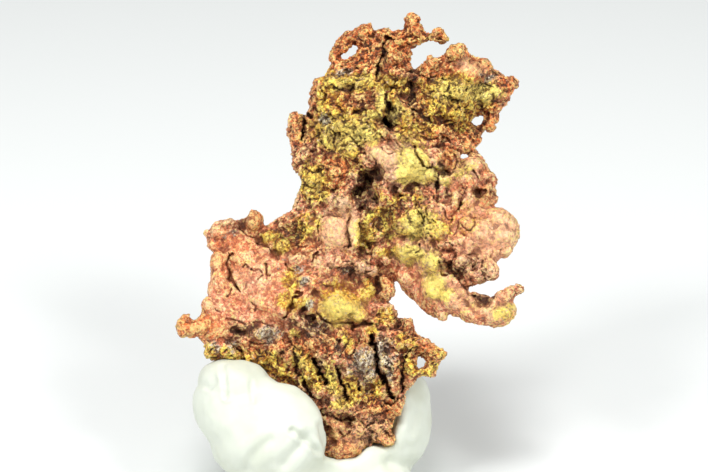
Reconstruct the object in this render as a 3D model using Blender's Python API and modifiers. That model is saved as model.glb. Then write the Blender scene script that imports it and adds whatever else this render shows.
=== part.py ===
"""A native copper specimen standing in its lump of white mounting putty.

The copper is one grown piece: a flat, branching, hackly mass, drawn as seen from the front on a grid whose
step is GRID. Its outline is blown up into a rounded body, lumps and ridges are added to it, and hollows and
grooves are pressed into it. The putty is one pressed lump with a flat underside and a socket for the copper.

Front-view coordinates are in grid steps: x to the right, z up, y away from the viewer, origin at the foot of
the copper. The world is in metres, +Z up, with the origin on the flat underside of the putty.
"""
import math

import bmesh
import bpy
import numpy as np
from mathutils import Matrix, Vector, noise

# ---- driving dimensions ----
COPPER_HEIGHT = 0.0672  # m, foot to top knob, along the copper
STEPS_HIGH = 448  # the same height in grid steps
GRID = COPPER_HEIGHT / STEPS_HIGH  # one grid step, 0.15 mm
LEAN = math.radians(25)  # the copper leans back in the putty
FOOT = Vector((0.0055, -0.0080, 0.0085))  # where the foot of the copper stands, in the world
EDGE_ROUND = 13  # steps, how far in from its edge the sheet is rounded
THICKENING = 0.42  # how fast it goes on thickening towards its middle
DEEPEST = 1.2  # how deep a hollow may go, in half thicknesses
COPPER_TRIANGLES = 8400
PUTTY_TRIANGLES = 1400
SOCKET_GAP = 5.0  # steps between the putty and the copper, about 0.7 mm before the meshes are thinned
VOXEL = 2.5  # steps, the cell that the copper is fused at
EYE = (4, -2490, 224)  # the front view is drawn as seen from here, 374 mm in front of the sheet

# ---- the copper's outline, clockwise from the foot ----
FOOT_EDGE = [
    (-5, 0), (-13, 0), (-22, 3), (-34, 10), (-44, 22), (-54, 34), (-70, 48), (-92, 62), (-110, 76), (-118, 88),
]
LEFT_RIM = [
    (-122, 96), (-130, 100), (-137, 102), (-142, 105), (-144, 111),
    (-147, 117), (-150, 122), (-154, 124), (-158, 121), (-162, 124), (-169, 122), (-173, 128), (-171, 134),
    (-171, 141), (-167, 146), (-161, 145), (-160, 139), (-152, 143), (-149, 147), (-146, 147), (-148, 153),
    (-146, 160), (-141, 163), (-143, 173), (-139, 188), (-140, 197), (-134, 208), (-139, 211), (-143, 219),
    (-140, 228), (-139, 233), (-134, 238), (-126, 241), (-118, 244), (-112, 240), (-102, 244), (-100, 249),
    (-94, 250), (-88, 247), (-86, 242), (-87, 233),
]
SHOULDER_RIM = [
    (-80, 237), (-74, 239), (-72, 243), (-66, 246), (-54, 254), (-50, 260), (-50, 267), (-47, 277), (-52, 286),
    (-59, 295), (-59, 315), (-62, 325), (-61, 337), (-57, 344), (-50, 348), (-45, 344), (-43, 349), (-40, 352),
    (-42, 356), (-39, 360), (-39, 369), (-33, 381), (-27, 388), (-20, 393), (-17, 399),
]
CROWN_RIM = [
    (-20, 402), (-18, 411), (-13, 419), (-6, 425), (2, 431), (10, 435), (18, 438), (23, 436), (24, 428),
    (30, 429), (38, 431), (46, 430), (56, 434), (55, 440), (59, 446), (65, 447), (70, 443), (71, 436), (74, 430),
    (80, 427), (83, 432), (89, 432), (92, 428), (98, 426), (101, 422), (98, 418), (91, 416), (86, 418),
    (78, 418), (68, 414), (61, 411), (60, 404), (57, 399), (60, 394),
]
WING_RIM = [
    (65, 390), (69, 395), (78, 401), (80, 405), (85, 402), (94, 407), (99, 412), (103, 416), (108, 417), (112, 414),
    (113, 410), (120, 404), (130, 401), (140, 396), (148, 388), (157, 381), (164, 380), (170, 380), (167, 373),
    (157, 358), (152, 354), (147, 346), (148, 338), (146, 332), (140, 327), (134, 328), (127, 316), (125, 309),
]
RIGHT_RIM = [
    (129, 306), (133, 301), (137, 295), (140, 287), (146, 284), (148, 279), (145, 275), (145, 269), (148, 262),
    (146, 257), (140, 255), (144, 252), (154, 251), (162, 247), (168, 241), (171, 233), (170, 224), (166, 216),
    (160, 212), (155, 206), (147, 200), (147, 190), (145, 182), (140, 176), (134, 172), (126, 171), (119, 170),
]
TONGUE_RIM = [
    (126, 168), (133, 168), (139, 164), (143, 165), (146, 173), (160, 173), (166, 176), (172, 175), (174, 171),
    (170, 166), (164, 162), (163, 158), (167, 154), (166, 147), (162, 142), (160, 136), (154, 134), (141, 132),
    (134, 135), (118, 137), (104, 144), (99, 148), (97, 144), (98, 140), (86, 140), (89, 143), (77, 150),
    (62, 161), (52, 171), (49, 177), (44, 182),
]
FAN_RIM = [
    (41, 183), (43, 174), (42, 166), (38, 160), (34, 156), (41, 151), (47, 145), (45, 141), (50, 143), (58, 143),
    (63, 138), (67, 125), (74, 124), (81, 121), (84, 116), (90, 113), (95, 110), (96, 106), (92, 100), (87, 94),
    (86, 88), (73, 84), (67, 80), (63, 74), (52, 67), (54, 60), (54, 54), (49, 49), (46, 42), (39, 30), (42, 26),
    (45, 21), (42, 17), (35, 16), (27, 17), (22, 19), (18, 14), (12, 11), (9, 6), (3, 1),
]
OUTLINE = FOOT_EDGE + LEFT_RIM + SHOULDER_RIM + CROWN_RIM + WING_RIM + RIGHT_RIM + TONGUE_RIM + FAN_RIM
THROUGH_HOLES = {
    "crown_loop": [(-11, 404), (-5, 402), (1, 404), (6, 408), (8, 413), (5, 415), (0, 414), (-1, 410), (-6, 407)],
    "wing_arm": [(124, 335), (132, 337), (135, 343), (130, 344)],
    "shoulder": [(108, 302), (113, 300), (119, 303), (118, 307), (111, 307)],
    "fan_eye": [(63, 98), (67, 103), (72, 104), (77, 99), (78, 93), (72, 92), (66, 94)],
}

# How the middle of the sheet bends to and fro: (x, z, reach, shift in y), a minus sign towards the viewer.
BENDS = [
    (-165, 130, 40, -28), (-105, 180, 50, 12), (-125, 235, 30, 12), (-50, 330, 30, 18), (-10, 415, 45, 20),
    (62, 440, 40, 8), (95, 425, 30, -22), (160, 378, 45, 34), (135, 335, 25, 18), (150, 225, 45, -26),
    (165, 150, 40, -36), (110, 160, 40, -14), (85, 100, 35, -22), (40, 285, 60, -14), (-5, 15, 40, -4),
    (-110, 105, 35, 12), (40, 20, 25, 12),
]

# ---- rounded lumps on the front: (x, z, half width, half height, turn in degrees, how far it stands proud) ----
FRONT_LUMPS = {
    "crown": [
        (63, 440, 7, 7, 0, 6), (66, 428, 7, 6, 40, 5), (87, 427, 5, 5, 0, 5), (94, 423, 5, 4, -20, 5),
        (14, 425, 11, 9, 30, 4), (-6, 411, 7, 3, 32, 6), (18, 404, 13, 10, 0, 5), (48, 418, 11, 7, 30, 6),
        (46, 400, 9, 12, 10, 8), (47, 388, 10, 7, -10, 9), (33, 425, 9, 5, 0, 3),
    ],
    "head": [
        (-18, 372, 18, 15, 20, 7), (3, 377, 15, 8, -10, 8), (-24, 350, 12, 13, 0, 5), (12, 360, 9, 8, 0, 6),
        (-54, 330, 8, 18, 4, 7), (-28, 320, 9, 6, -15, 8), (16, 326, 15, 9, -20, 9), (-8, 332, 13, 9, 10, 6),
        (4, 308, 11, 9, 0, 7), (-38, 283, 12, 15, 10, 6), (-12, 290, 14, 13, 0, 5), (-45, 305, 10, 8, 0, 6),
    ],
    "wing": [
        (105, 406, 9, 8, 10, 8), (112, 388, 22, 13, -15, 7), (137, 367, 17, 9, 10, 7), (158, 375, 11, 6, 10, 3),
        (80, 396, 7, 8, 0, 6), (98, 371, 20, 10, 0, 7), (76, 354, 13, 9, -30, 6), (98, 347, 18, 7, 0, 8),
        (141, 337, 7, 10, 0, 6), (124, 322, 7, 10, 30, 4), (84, 328, 17, 9, 0, 6), (112, 316, 8, 10, 0, 7),
        (145, 353, 7, 4, 0, 4), (58, 322, 13, 8, -25, 6),
    ],
    "ledge": [
        (35, 303, 18, 12, -25, 14), (60, 296, 20, 17, -10, 16), (84, 300, 16, 10, -25, 12),
        (100, 302, 10, 10, 0, 9), (95, 279, 8, 6, 0, 11), (48, 286, 15, 8, 10, 14), (76, 284, 14, 7, 0, 12),
    ],
    "right": [
        (124, 293, 11, 11, 0, 9), (115, 279, 9, 8, 0, 8), (138, 283, 7, 6, 0, 5), (134, 258, 11, 7, 0, 6),
        (118, 262, 7, 10, 20, 8), (104, 262, 6, 9, 0, 8), (117, 236, 9, 7, -15, 10), (150, 240, 18, 10, -25, 9),
        (148, 222, 20, 14, 0, 7), (132, 228, 16, 14, 0, 7), (112, 198, 10, 9, -20, 12), (125, 185, 15, 12, 0, 7),
        (140, 190, 8, 13, 0, 8), (124, 200, 5, 4, 0, 8), (155, 210, 8, 7, 30, 5),
    ],
    "middle": [
        (-12, 226, 19, 19, 0, 13), (5, 227, 5, 17, 0, 12), (-6, 258, 15, 11, 15, 11), (-30, 262, 14, 9, 20, 6),
        (24, 262, 6, 14, -10, 7), (12, 262, 7, 10, 0, -14), (38, 262, 11, 9, 0, 8), (60, 240, 20, 16, 0, 8),
        (25, 233, 17, 17, 0, 6), (85, 247, 14, 11, 0, 8), (88, 228, 15, 11, 0, 8), (60, 212, 20, 12, 0, 8),
        (85, 200, 13, 15, 0, 8), (26, 208, 12, 8, 15, 8), (13, 192, 13, 6, -15, 11), (-10, 200, 18, 9, 0, 6),
        (100, 216, 10, 7, 0, 7),
    ],
    "tongue": [
        (60, 182, 14, 12, -35, 7), (85, 172, 16, 14, -30, 8), (105, 160, 15, 11, -25, 8), (125, 145, 16, 8, -15, 9),
        (148, 146, 14, 9, 10, 10), (156, 164, 12, 6, 35, 10), (93, 145, 5, 5, 0, 2), (140, 141, 12, 7, 0, 8),
        (169, 171, 5, 4, 20, 4),
    ],
    "left wing": [
        (-130, 230, 11, 8, 15, 8), (-123, 237, 12, 4, 15, 9), (-96, 239, 8, 11, 0, 10), (-131, 197, 9, 11, 0, 7),
        (-130, 177, 11, 13, 0, 7), (-134, 214, 8, 6, 0, 4), (-104, 200, 14, 12, 0, 5), (-85, 190, 13, 10, 10, 5),
        (-80, 222, 8, 5, -15, 7), (-67, 214, 7, 7, 40, 8), (-62, 235, 12, 9, 25, 6), (-45, 238, 12, 12, 0, 6),
        (-118, 152, 17, 14, 0, 3), (-85, 158, 18, 12, 0, 4), (-168, 131, 5, 9, 5, 4), (-165, 142, 5, 4, 0, 3),
        (-142, 155, 6, 8, 0, 4), (-66, 152, 8, 11, -20, 6), (-50, 200, 13, 8, 0, 5), (-68, 180, 9, 11, 0, 4),
        (-44, 180, 9, 7, 0, 5), (-20, 180, 14, 7, 0, 5),
    ],
    "dome": [(-10, 156, 24, 20, -20, 14), (6, 146, 13, 8, -10, 12), (13, 168, 13, 12, 0, 8), (36, 172, 7, 13, 0, 9)],
    "lower left": [
        (-83, 129, 16, 6, 12, 8), (-106, 119, 10, 5, -45, 7), (-124, 108, 15, 7, -15, 8), (-138, 108, 6, 6, 0, 5),
        (-98, 106, 9, 7, -20, 9), (-92, 98, 9, 7, 20, 9), (-72, 108, 9, 6, 25, 8), (-70, 96, 12, 8, -20, 7),
        (-58, 108, 9, 9, 0, 8), (-55, 128, 8, 6, 0, 8), (-38, 118, 11, 8, 0, 7), (-22, 118, 10, 9, 30, 7),
        (-62, 84, 12, 7, -25, 7), (-28, 104, 7, 5, 0, 8), (-17, 98, 8, 4, 15, 9),
    ],
    "fan": [
        (36, 152, 9, 6, -25, 7), (57, 135, 7, 8, 0, 7), (55, 118, 11, 9, 0, 10), (40, 122, 10, 14, 10, 8),
        (44, 95, 10, 20, 12, 9), (42, 76, 8, 12, 15, 8), (72, 115, 12, 8, -10, 6), (90, 106, 7, 6, 0, 7),
        (61, 97, 5, 9, 0, 8), (70, 87, 9, 5, 5, 7), (82, 92, 6, 9, 0, 7), (14, 102, 12, 17, 0, 9),
        (20, 82, 7, 10, 20, 10), (28, 70, 8, 8, 30, 8), (1, 112, 6, 12, -15, 8), (58, 78, 6, 6, 0, 4),
    ],
    "foot": [
        (3, 47, 6, 5, 0, 7), (20, 50, 15, 7, 5, 7), (42, 52, 10, 8, 20, 6), (-12, 34, 8, 7, 0, 7),
        (8, 32, 10, 10, 0, 7), (30, 36, 11, 9, 0, 6), (34, 21, 10, 5, -5, 5), (-8, 12, 17, 11, 0, 5),
        (-20, 48, 9, 4, -25, 8),
    ],
}

# ---- ridges that run over the front: radius, how far proud, then the points ----
FRONT_RIDGES = [
    (4.5, 9, [(11, 342), (21, 344), (30, 350), (34, 359), (34, 368), (31, 374)]),
    (4.5, 9, [(41, 367), (41, 356), (45, 347), (51, 339)]),
    (4.0, 8, [(48, 376), (55, 381)]),
    (3.5, 8, [(50, 368), (58, 370)]),
    (7.0, 8, [(-50, 103), (-47, 95), (-40, 87), (-34, 78), (-31, 72)]),
    (7.0, 8, [(-18, 91), (-19, 80), (-13, 70), (-17, 60), (-10, 53), (0, 54)]),
    (5.0, 8, [(0, 77), (2, 67), (8, 60)]),
    (4.0, 8, [(9, 76), (12, 68)]),
    (4.0, 7, [(-8, 126), (-6, 112), (-12, 104)]),
    (4.0, 7, [(24, 130), (30, 118), (33, 100), (38, 82), (45, 68)]),
    (3.5, 7, [(15, 198), (28, 207), (36, 199)]),
    (3.5, 6, [(100, 252), (109, 258), (115, 270), (124, 276)]),
    (4.0, 7, [(112, 178), (121, 166), (131, 157), (140, 152), (147, 158), (150, 168)]),
    (3.5, 6, [(-143, 226), (-132, 228), (-118, 232)]),
    (3.0, 6, [(-80, 111), (-74, 114), (-68, 112), (-66, 106), (-72, 102)]),
    (3.5, 6, [(62, 112), (57, 103), (56, 92), (63, 86)]),
]

# ---- hollows pressed into the front: (x, z, half width, half height, turn in degrees, depth) ----
FRONT_HOLLOWS = [
    (36, 338, 11, 9, 35, 46), (40, 352, 4, 8, 0, 18), (20, 284, 12, 7, 15, 44), (10, 266, 7, 11, 0, 40),
    (19, 252, 8, 5, 0, 26), (45, 270, 5, 6, 0, 26), (65, 271, 10, 6, 0, 24), (96, 262, 5, 6, 20, 20),
    (92, 293, 4, 7, 35, 24), (128, 266, 6, 7, 0, 22), (141, 265, 4, 7, 0, 18), (137, 277, 5, 4, 0, 14),
    (105, 189, 9, 6, -40, 26), (94, 194, 6, 6, 0, 20), (125, 197, 7, 5, 20, 14), (127, 209, 5, 4, 40, 16),
    (131, 161, 9, 7, -20, 34), (28, 176, 3, 13, -4, 18), (-107, 236, 6, 7, 20, 20), (-88, 219, 6, 7, 40, 18),
    (-73, 205, 6, 5, 0, 16), (-44, 146, 12, 9, 15, 34), (-57, 152, 7, 6, 20, 18), (-112, 130, 11, 8, -25, 14),
    (-72, 107, 5, 3, 20, 12), (50, 136, 7, 6, 0, 22), (62, 376, 8, 16, 0, 26), (68, 386, 7, 6, 0, 20),
    (30, 389, 7, 9, 20, 18), (8, 346, 7, 5, -40, 18), (-46, 332, 3, 14, -3, 22), (-14, 252, 5, 5, -40, 14),
    (-40, 310, 8, 5, 20, 14), (-24, 303, 5, 5, 0, 14), (-2, 38, 8, 4, -30, 18), (18, 20, 4, 6, 0, 16),
    (130, 333, 8, 6, 30, 22), (-22, 22, 6, 14, 10, 14), (90, 313, 6, 5, 0, 12), (-31, 218, 5, 5, 0, 12),
    (-125, 212, 8, 4, -30, 8), (10, 206, 7, 6, 40, 14), (-34, 168, 6, 5, 50, 12),
]

# ---- grooves and clefts in the front: half width, depth, then the points ----
FRONT_GROOVES = [
    (4.0, 40, [(22, 124), (26, 112), (27, 98), (31, 84), (39, 68), (43, 62)]),
    (4.5, 34, [(-36, 101), (-31, 92), (-26, 82), (-22, 78)]),
    (4.0, 26, [(-12, 90), (-9, 78), (-5, 68), (-3, 62)]),
    (3.0, 18, [(8, 78), (9, 70)]),
    (3.0, 16, [(62, 112), (56, 104), (54, 92), (51, 78), (52, 70)]),
    (3.0, 12, [(-1, 241), (-2, 228), (-1, 214)]),
    (3.0, 13, [(-120, 204), (-121, 190), (-119, 179), (-111, 170)]),
    (3.0, 14, [(36, 368), (37, 358), (39, 350)]),
    (3.5, 14, [(37, 422), (34, 408), (28, 396), (26, 384)]),
    (3.0, 12, [(-30, 50), (-20, 46), (-8, 41), (4, 41)]),
    (3.0, 12, [(64, 314), (67, 302), (74, 295), (84, 291), (87, 282), (88, 271)]),
    (2.5, 9, [(104, 352), (110, 359)]),
    (3.0, 10, [(63, 350), (72, 343), (80, 337)]),
    (3.0, 12, [(-66, 142), (-58, 158), (-50, 164)]),
    (3.5, 13, [(2, 133), (12, 138), (22, 136)]),
    (3.0, 10, [(-118, 115), (-108, 109)]),
    (3.0, 14, [(-56, 112), (-52, 100), (-54, 88), (-46, 76), (-36, 62)]),
    (2.5, 10, [(5, 318), (12, 312), (15, 306)]),
    (3.0, 10, [(108, 250), (112, 262), (117, 270)]),
    (3.0, 10, [(-84, 196), (-82, 184)]),
]

# ---- the back: lumps and hollows scattered by rule, because nobody has drawn it ----
BACK_SEED = 11
BACK_LUMP_COUNT = 130
BACK_HOLLOW_COUNT = 46

# ---- the putty, in world millimetres: (centre), (half sizes) of the balls that it is pressed from ----
PUTTY_BALLS = [
    ((1.7, 3.0, 6.0), (14.7, 14.2, 9.3)),
    ((-11.3, -5.7, 16.4), (6.4, 7.5, 5.8)),
    ((-6.5, -8.1, 13.0), (8.6, 7.6, 8.2)),
    ((-4.6, -6.0, 7.0), (8.0, 8.0, 7.5)),
    ((9.3, 1.5, 10.0), (8.5, 8.5, 8.5)),
    ((10.8, 2.0, 13.2), (6.8, 7.0, 6.2)),
    ((0.0, 9.5, 8.5), (12.5, 10.0, 9.5)),
    ((6.5, -6.5, 3.5), (8.5, 6.0, 4.5)),
    ((-8.0, 2.0, 11.0), (7.5, 9.0, 8.0)),
]
PUTTY_VOXEL = 0.6  # mm
MM = 0.001

COLOURS = {
    "native_copper": ((0.62, 0.27, 0.14, 1), 0.45, 0.85),
    "mounting_putty": ((0.86, 0.86, 0.80, 1), 0.65, 0.0),
}


def clear_scene():
    for obj in list(bpy.data.objects):
        bpy.data.objects.remove(obj)


def mesh_after(mesh, name, settings):
    """The mesh with one modifier applied: settings are its type and values."""
    obj = bpy.data.objects.new(name, mesh)
    bpy.context.scene.collection.objects.link(obj)
    modifier = obj.modifiers.new(name, settings["type"])
    for key, value in settings.items():
        if key != "type":
            setattr(modifier, key, value)
    graph = bpy.context.evaluated_depsgraph_get()
    result = bpy.data.meshes.new_from_object(obj.evaluated_get(graph), depsgraph=graph)
    bpy.data.objects.remove(obj)
    return result


def fused(mesh, voxel):
    """One skin round everything that the mesh's closed shells hold, in cells of that size."""
    return mesh_after(mesh, "fuse", {"type": "REMESH", "mode": "VOXEL", "voxel_size": voxel})


def places(mesh):
    points = np.empty(len(mesh.vertices) * 3)
    mesh.vertices.foreach_get("co", points)
    return points.reshape(-1, 3)


def normals(mesh):
    found = np.empty(len(mesh.vertices) * 3, np.float32)
    mesh.vertex_normals.foreach_get("vector", found)
    return found.reshape(-1, 3).astype(float)


def put(mesh, points):
    mesh.vertices.foreach_set("co", points.ravel())
    mesh.update()


# ---- the outline blown up ----
CELL = 2  # steps, the grid that the skin is stretched on
MARGIN = 8


def inside(polygon, x, z):
    """Whether points are in the polygon, by counting the edges to their right."""
    found = np.zeros(x.shape, bool)
    for (ax, az), (bx, bz) in zip(polygon, polygon[1:] + polygon[:1]):
        if az != bz:
            crosses = (az > z) != (bz > z)
            found ^= crosses & (x < (bx - ax) * (z - az) / (bz - az) + ax)
    return found


def edge_distance(polygon, x, z):
    best = np.full(x.shape, np.inf)
    for (ax, az), (bx, bz) in zip(polygon, polygon[1:] + polygon[:1]):
        along_x, along_z = bx - ax, bz - az
        share = np.clip(((x - ax) * along_x + (z - az) * along_z) / (along_x**2 + along_z**2), 0, 1)
        best = np.minimum(best, np.hypot(x - ax - share * along_x, z - az - share * along_z))
    return best


class Skin:
    """The sheet's half thickness over its outline: round at the edge, and a thin arm comes out round."""

    def __init__(self):
        corners = np.array(OUTLINE)
        self.low = corners.min(0) - MARGIN
        size = (np.ptp(corners, axis=0) + 2 * MARGIN) // CELL + 1
        x = self.low[0] + CELL * np.arange(size[0])[:, None]
        z = self.low[1] + CELL * np.arange(size[1])[None, :]
        x, z = np.broadcast_arrays(x, z)
        within = inside(OUTLINE, x, z)
        self.room = edge_distance(OUTLINE, x, z)
        for hole in THROUGH_HOLES.values():
            within &= ~inside(hole, x, z)
            self.room = np.minimum(self.room, edge_distance(hole, x, z))
        self.room *= within
        rounded = np.sqrt(np.maximum(self.room * (2 * EDGE_ROUND - self.room), 0))
        wide = EDGE_ROUND + THICKENING * (self.room - EDGE_ROUND)
        full = np.where(self.room < EDGE_ROUND, rounded, wide)
        self.half = np.minimum(full, np.sqrt(2 * self.stretched(within)))

    @staticmethod
    def stretched(within):
        """Height of a membrane held at the edge and pushed evenly, by conjugate gradients."""

        def pull(u):
            around = np.zeros_like(u)
            around[1:] += u[:-1]
            around[:-1] += u[1:]
            around[:, 1:] += u[:, :-1]
            around[:, :-1] += u[:, 1:]
            return (4 * u - around) * within

        height = np.zeros(within.shape)
        rest = within * float(CELL * CELL)
        way = rest.copy()
        left = (rest * rest).sum()
        for _ in range(600):
            pulled = pull(way)
            step = left / (way * pulled).sum()
            height += step * way
            rest -= step * pulled
            now = (rest * rest).sum()
            if now < 1e-6:
                break
            way = rest + (now / left) * way
            left = now
        return np.maximum(height, 0)

    def read(self, field, x, z):
        """A field of the skin at any points, between the grid's own."""
        i = np.clip((np.asarray(x) - self.low[0]) / CELL, 0, field.shape[0] - 1.001)
        k = np.clip((np.asarray(z) - self.low[1]) / CELL, 0, field.shape[1] - 1.001)
        i0, k0 = i.astype(int), k.astype(int)
        u, v = i - i0, k - k0
        return (
            field[i0, k0] * (1 - u) * (1 - v)
            + field[i0 + 1, k0] * u * (1 - v)
            + field[i0, k0 + 1] * (1 - u) * v
            + field[i0 + 1, k0 + 1] * u * v
        )

    def at(self, x, z):
        return self.read(self.half, x, z)

    def edge(self, x, z):
        return self.read(self.room, x, z)


def bend(x, z):
    """How far the middle of the sheet lies from the drawing plane."""
    shift = np.zeros(np.shape(x))
    for cx, cz, reach, depth in BENDS:
        shift = shift + depth * np.exp(-((x - cx) ** 2 + (z - cz) ** 2) / (2 * reach**2))
    return shift


def flat_sheet(half_thickness):
    """The outline with its holes, as a plate."""
    curve = bpy.data.curves.new("outline", "CURVE")
    curve.dimensions = "2D"
    curve.fill_mode = "BOTH"
    curve.extrude = half_thickness
    for polygon in [OUTLINE, *THROUGH_HOLES.values()]:
        spline = curve.splines.new("POLY")
        spline.points.add(len(polygon) - 1)
        for point, (x, z) in zip(spline.points, polygon):
            point.co = (x, z, 0, 1)
        spline.use_cyclic_u = True
    obj = bpy.data.objects.new("outline", curve)
    bpy.context.scene.collection.objects.link(obj)
    graph = bpy.context.evaluated_depsgraph_get()
    mesh = bpy.data.meshes.new_from_object(obj.evaluated_get(graph), depsgraph=graph)
    bpy.data.objects.remove(obj)
    mesh.transform(Matrix.Rotation(math.radians(90), 4, "X"))
    return fused(mesh, VOXEL)


def blown_sheet(skin):
    half = 12
    mesh = flat_sheet(half)
    points = places(mesh)
    x, z = points[:, 0], points[:, 2]
    points[:, 1] = points[:, 1] / half * skin.at(x, z) + bend(x, z)
    put(mesh, points)
    return mesh


# ---- what is added to the sheet ----
def add_ball(bm, centre, radii, turn):
    """An ellipsoid turned in the front view, in degrees against the clock."""
    place = Matrix.Translation(centre) @ Matrix.Rotation(-math.radians(turn), 4, "Y")
    bmesh.ops.create_icosphere(bm, subdivisions=2, radius=1, matrix=place @ Matrix.Diagonal((*radii, 1)))


def add_front_lumps(bm, skin):
    for lumps in FRONT_LUMPS.values():
        for x, z, half_width, half_height, turn, proud in lumps:
            deep = 0.9 * min(half_width, half_height) + 3
            y = float(bend(x, z) - skin.at(x, z)) - proud + deep
            add_ball(bm, (x, y, z), (half_width, deep, half_height), turn)


def along(points, spacing):
    """Points at even spacing along a bent line."""
    points = np.array(points, float)
    lengths = np.hypot(*np.diff(points, axis=0).T)
    run = np.concatenate([[0], np.cumsum(lengths)])
    at = np.linspace(0, run[-1], max(2, int(run[-1] / spacing) + 1))
    return np.stack([np.interp(at, run, points[:, k]) for k in (0, 1)], axis=1)


def add_front_ridges(bm, skin):
    for radius, proud, points in FRONT_RIDGES:
        for x, z in along(points, radius * 0.6):
            y = float(bend(x, z) - skin.at(x, z)) - proud + radius
            add_ball(bm, (x, y, z), (radius, radius, radius), 0)


def scattered(seed, count, skin, least):
    """Places spread at random over the outline, at least that far in from its edge."""
    draw = np.random.default_rng(seed)
    low, high = np.min(OUTLINE, axis=0), np.max(OUTLINE, axis=0)
    found = []
    while len(found) < count:
        x, z = draw.uniform(low, high)
        if skin.edge(x, z) > least:
            found.append((x, z, draw.uniform(0, 1), draw.uniform(0, 180)))
    return found


def add_back_lumps(bm, skin):
    for x, z, share, turn in scattered(BACK_SEED, BACK_LUMP_COUNT, skin, 5):
        thick = float(skin.at(x, z))
        radius = min(6 + 9 * share, 0.8 * float(skin.edge(x, z)))
        y = float(bend(x, z)) + thick - radius * 0.45
        add_ball(bm, (x, y, z), (radius * 1.25, radius, radius * 0.85), turn)


# ---- what is pressed into it ----
def press(points, facing, side, x, z, half_width, half_height, turn, depth):
    """Pushes one side's surface in over an ellipse, steeply at its rim."""
    angle = math.radians(turn)
    dx, dz = points[:, 0] - x, points[:, 2] - z
    u = (dx * math.cos(angle) + dz * math.sin(angle)) / half_width
    v = (dz * math.cos(angle) - dx * math.sin(angle)) / half_height
    push_in(points, facing, side, u * u + v * v, depth)


def push_in(points, facing, side, distance_squared, depth):
    share = np.clip(1.35 - distance_squared, 0, 1)
    share = share * share * (3 - 2 * share)
    faces_us = np.clip(facing[:, 1] * side * 2 + 0.6, 0, 1)
    points[:, 1] -= side * depth * share * faces_us


def distance_to(points, path):
    """Distance in the front view from a bent line."""
    best = np.full(len(points), np.inf)
    for (ax, az), (bx, bz) in zip(path, path[1:]):
        along_x, along_z = bx - ax, bz - az
        share = ((points[:, 0] - ax) * along_x + (points[:, 2] - az) * along_z) / (along_x**2 + along_z**2)
        share = np.clip(share, 0, 1)
        gap = np.hypot(points[:, 0] - ax - share * along_x, points[:, 2] - az - share * along_z)
        best = np.minimum(best, gap)
    return best


def press_front(mesh, skin):
    points, facing = places(mesh), normals(mesh)
    room = DEEPEST * skin.at(points[:, 0], points[:, 2])
    for x, z, half_width, half_height, turn, depth in FRONT_HOLLOWS:
        press(points, facing, -1, x, z, half_width, half_height, turn, np.minimum(depth, room))
    for half_width, depth, path in FRONT_GROOVES:
        push_in(points, facing, -1, (distance_to(points, path) / half_width) ** 2, np.minimum(depth, room))
    put(mesh, points)


def press_back(mesh, skin):
    points, facing = places(mesh), normals(mesh)
    for x, z, share, turn in scattered(BACK_SEED + 1, BACK_HOLLOW_COUNT, skin, 14):
        depth = min(6 + 16 * share, 0.6 * float(skin.at(x, z)))
        press(points, facing, 1, x, z, 4 + 8 * share, 3 + 5 * share, turn, depth)
    put(mesh, points)


def roughen(mesh):
    """The hackly skin that the whole mass has, in two sizes."""
    points, facing = places(mesh), normals(mesh)
    coarse = [noise.noise(Vector(p) / 19) for p in points]
    fine = [noise.noise(Vector(p) / 8) for p in points]
    lift = 3.0 * np.array(coarse) + 1.2 * np.array(fine)
    put(mesh, points + facing * lift[:, None])


def smoothed(mesh, rounds):
    return mesh_after(mesh, "smooth", {"type": "SMOOTH", "factor": 0.5, "iterations": rounds})


def largest_body(mesh):
    """Drops the crumbs and sealed bubbles that fusing leaves."""
    bm = bmesh.new()
    bm.from_mesh(mesh)
    todo, bodies = set(bm.verts), []
    while todo:
        body, edge = set(), [todo.pop()]
        while edge:
            vertex = edge.pop()
            body.add(vertex)
            for link in vertex.link_edges:
                other = link.other_vert(vertex)
                if other in todo:
                    todo.remove(other)
                    edge.append(other)
        bodies.append(body)
    keep = max(bodies, key=len)
    bmesh.ops.delete(bm, geom=[v for v in bm.verts if v not in keep], context="VERTS")
    bm.to_mesh(mesh)
    bm.free()
    return mesh


def thinned(mesh, triangles):
    bm = bmesh.new()
    bm.from_mesh(mesh)
    bmesh.ops.triangulate(bm, faces=bm.faces[:])
    bm.to_mesh(mesh)
    bm.free()
    ratio = triangles / len(mesh.polygons)
    return mesh_after(mesh, "thin", {"type": "DECIMATE", "ratio": ratio, "use_collapse_triangulate": True})


def seen_from_eye(mesh):
    """Moves what lies off the drawing plane along its sight line, so that it keeps its place in the front view."""
    points = places(mesh)
    farther = 1 - points[:, 1] / EYE[1]
    points[:, 0] = EYE[0] + (points[:, 0] - EYE[0]) * farther
    points[:, 2] = EYE[2] + (points[:, 2] - EYE[2]) * farther
    put(mesh, points)


def copper_in_steps():
    """The copper's fine mesh in its own frame, in grid steps."""
    skin = Skin()
    bm = bmesh.new()
    bm.from_mesh(blown_sheet(skin))
    add_front_lumps(bm, skin)
    add_front_ridges(bm, skin)
    add_back_lumps(bm, skin)
    mesh = bpy.data.meshes.new("copper")
    bm.to_mesh(mesh)
    bm.free()
    mesh = smoothed(fused(mesh, VOXEL), 2)
    press_front(mesh, skin)
    press_back(mesh, skin)
    mesh = smoothed(fused(mesh, VOXEL), 1)
    roughen(mesh)
    mesh = largest_body(fused(mesh, VOXEL))
    seen_from_eye(mesh)
    return mesh


def copper_place():
    return Matrix.Translation(FOOT) @ Matrix.Rotation(-LEAN, 4, "X")


def material(name):
    colour, roughness, metallic = COLOURS[name]
    made = bpy.data.materials.new(name)
    made.use_nodes = True
    shader = made.node_tree.nodes["Principled BSDF"]
    shader.inputs["Base Color"].default_value = colour
    shader.inputs["Roughness"].default_value = roughness
    shader.inputs["Metallic"].default_value = metallic
    return made


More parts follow.
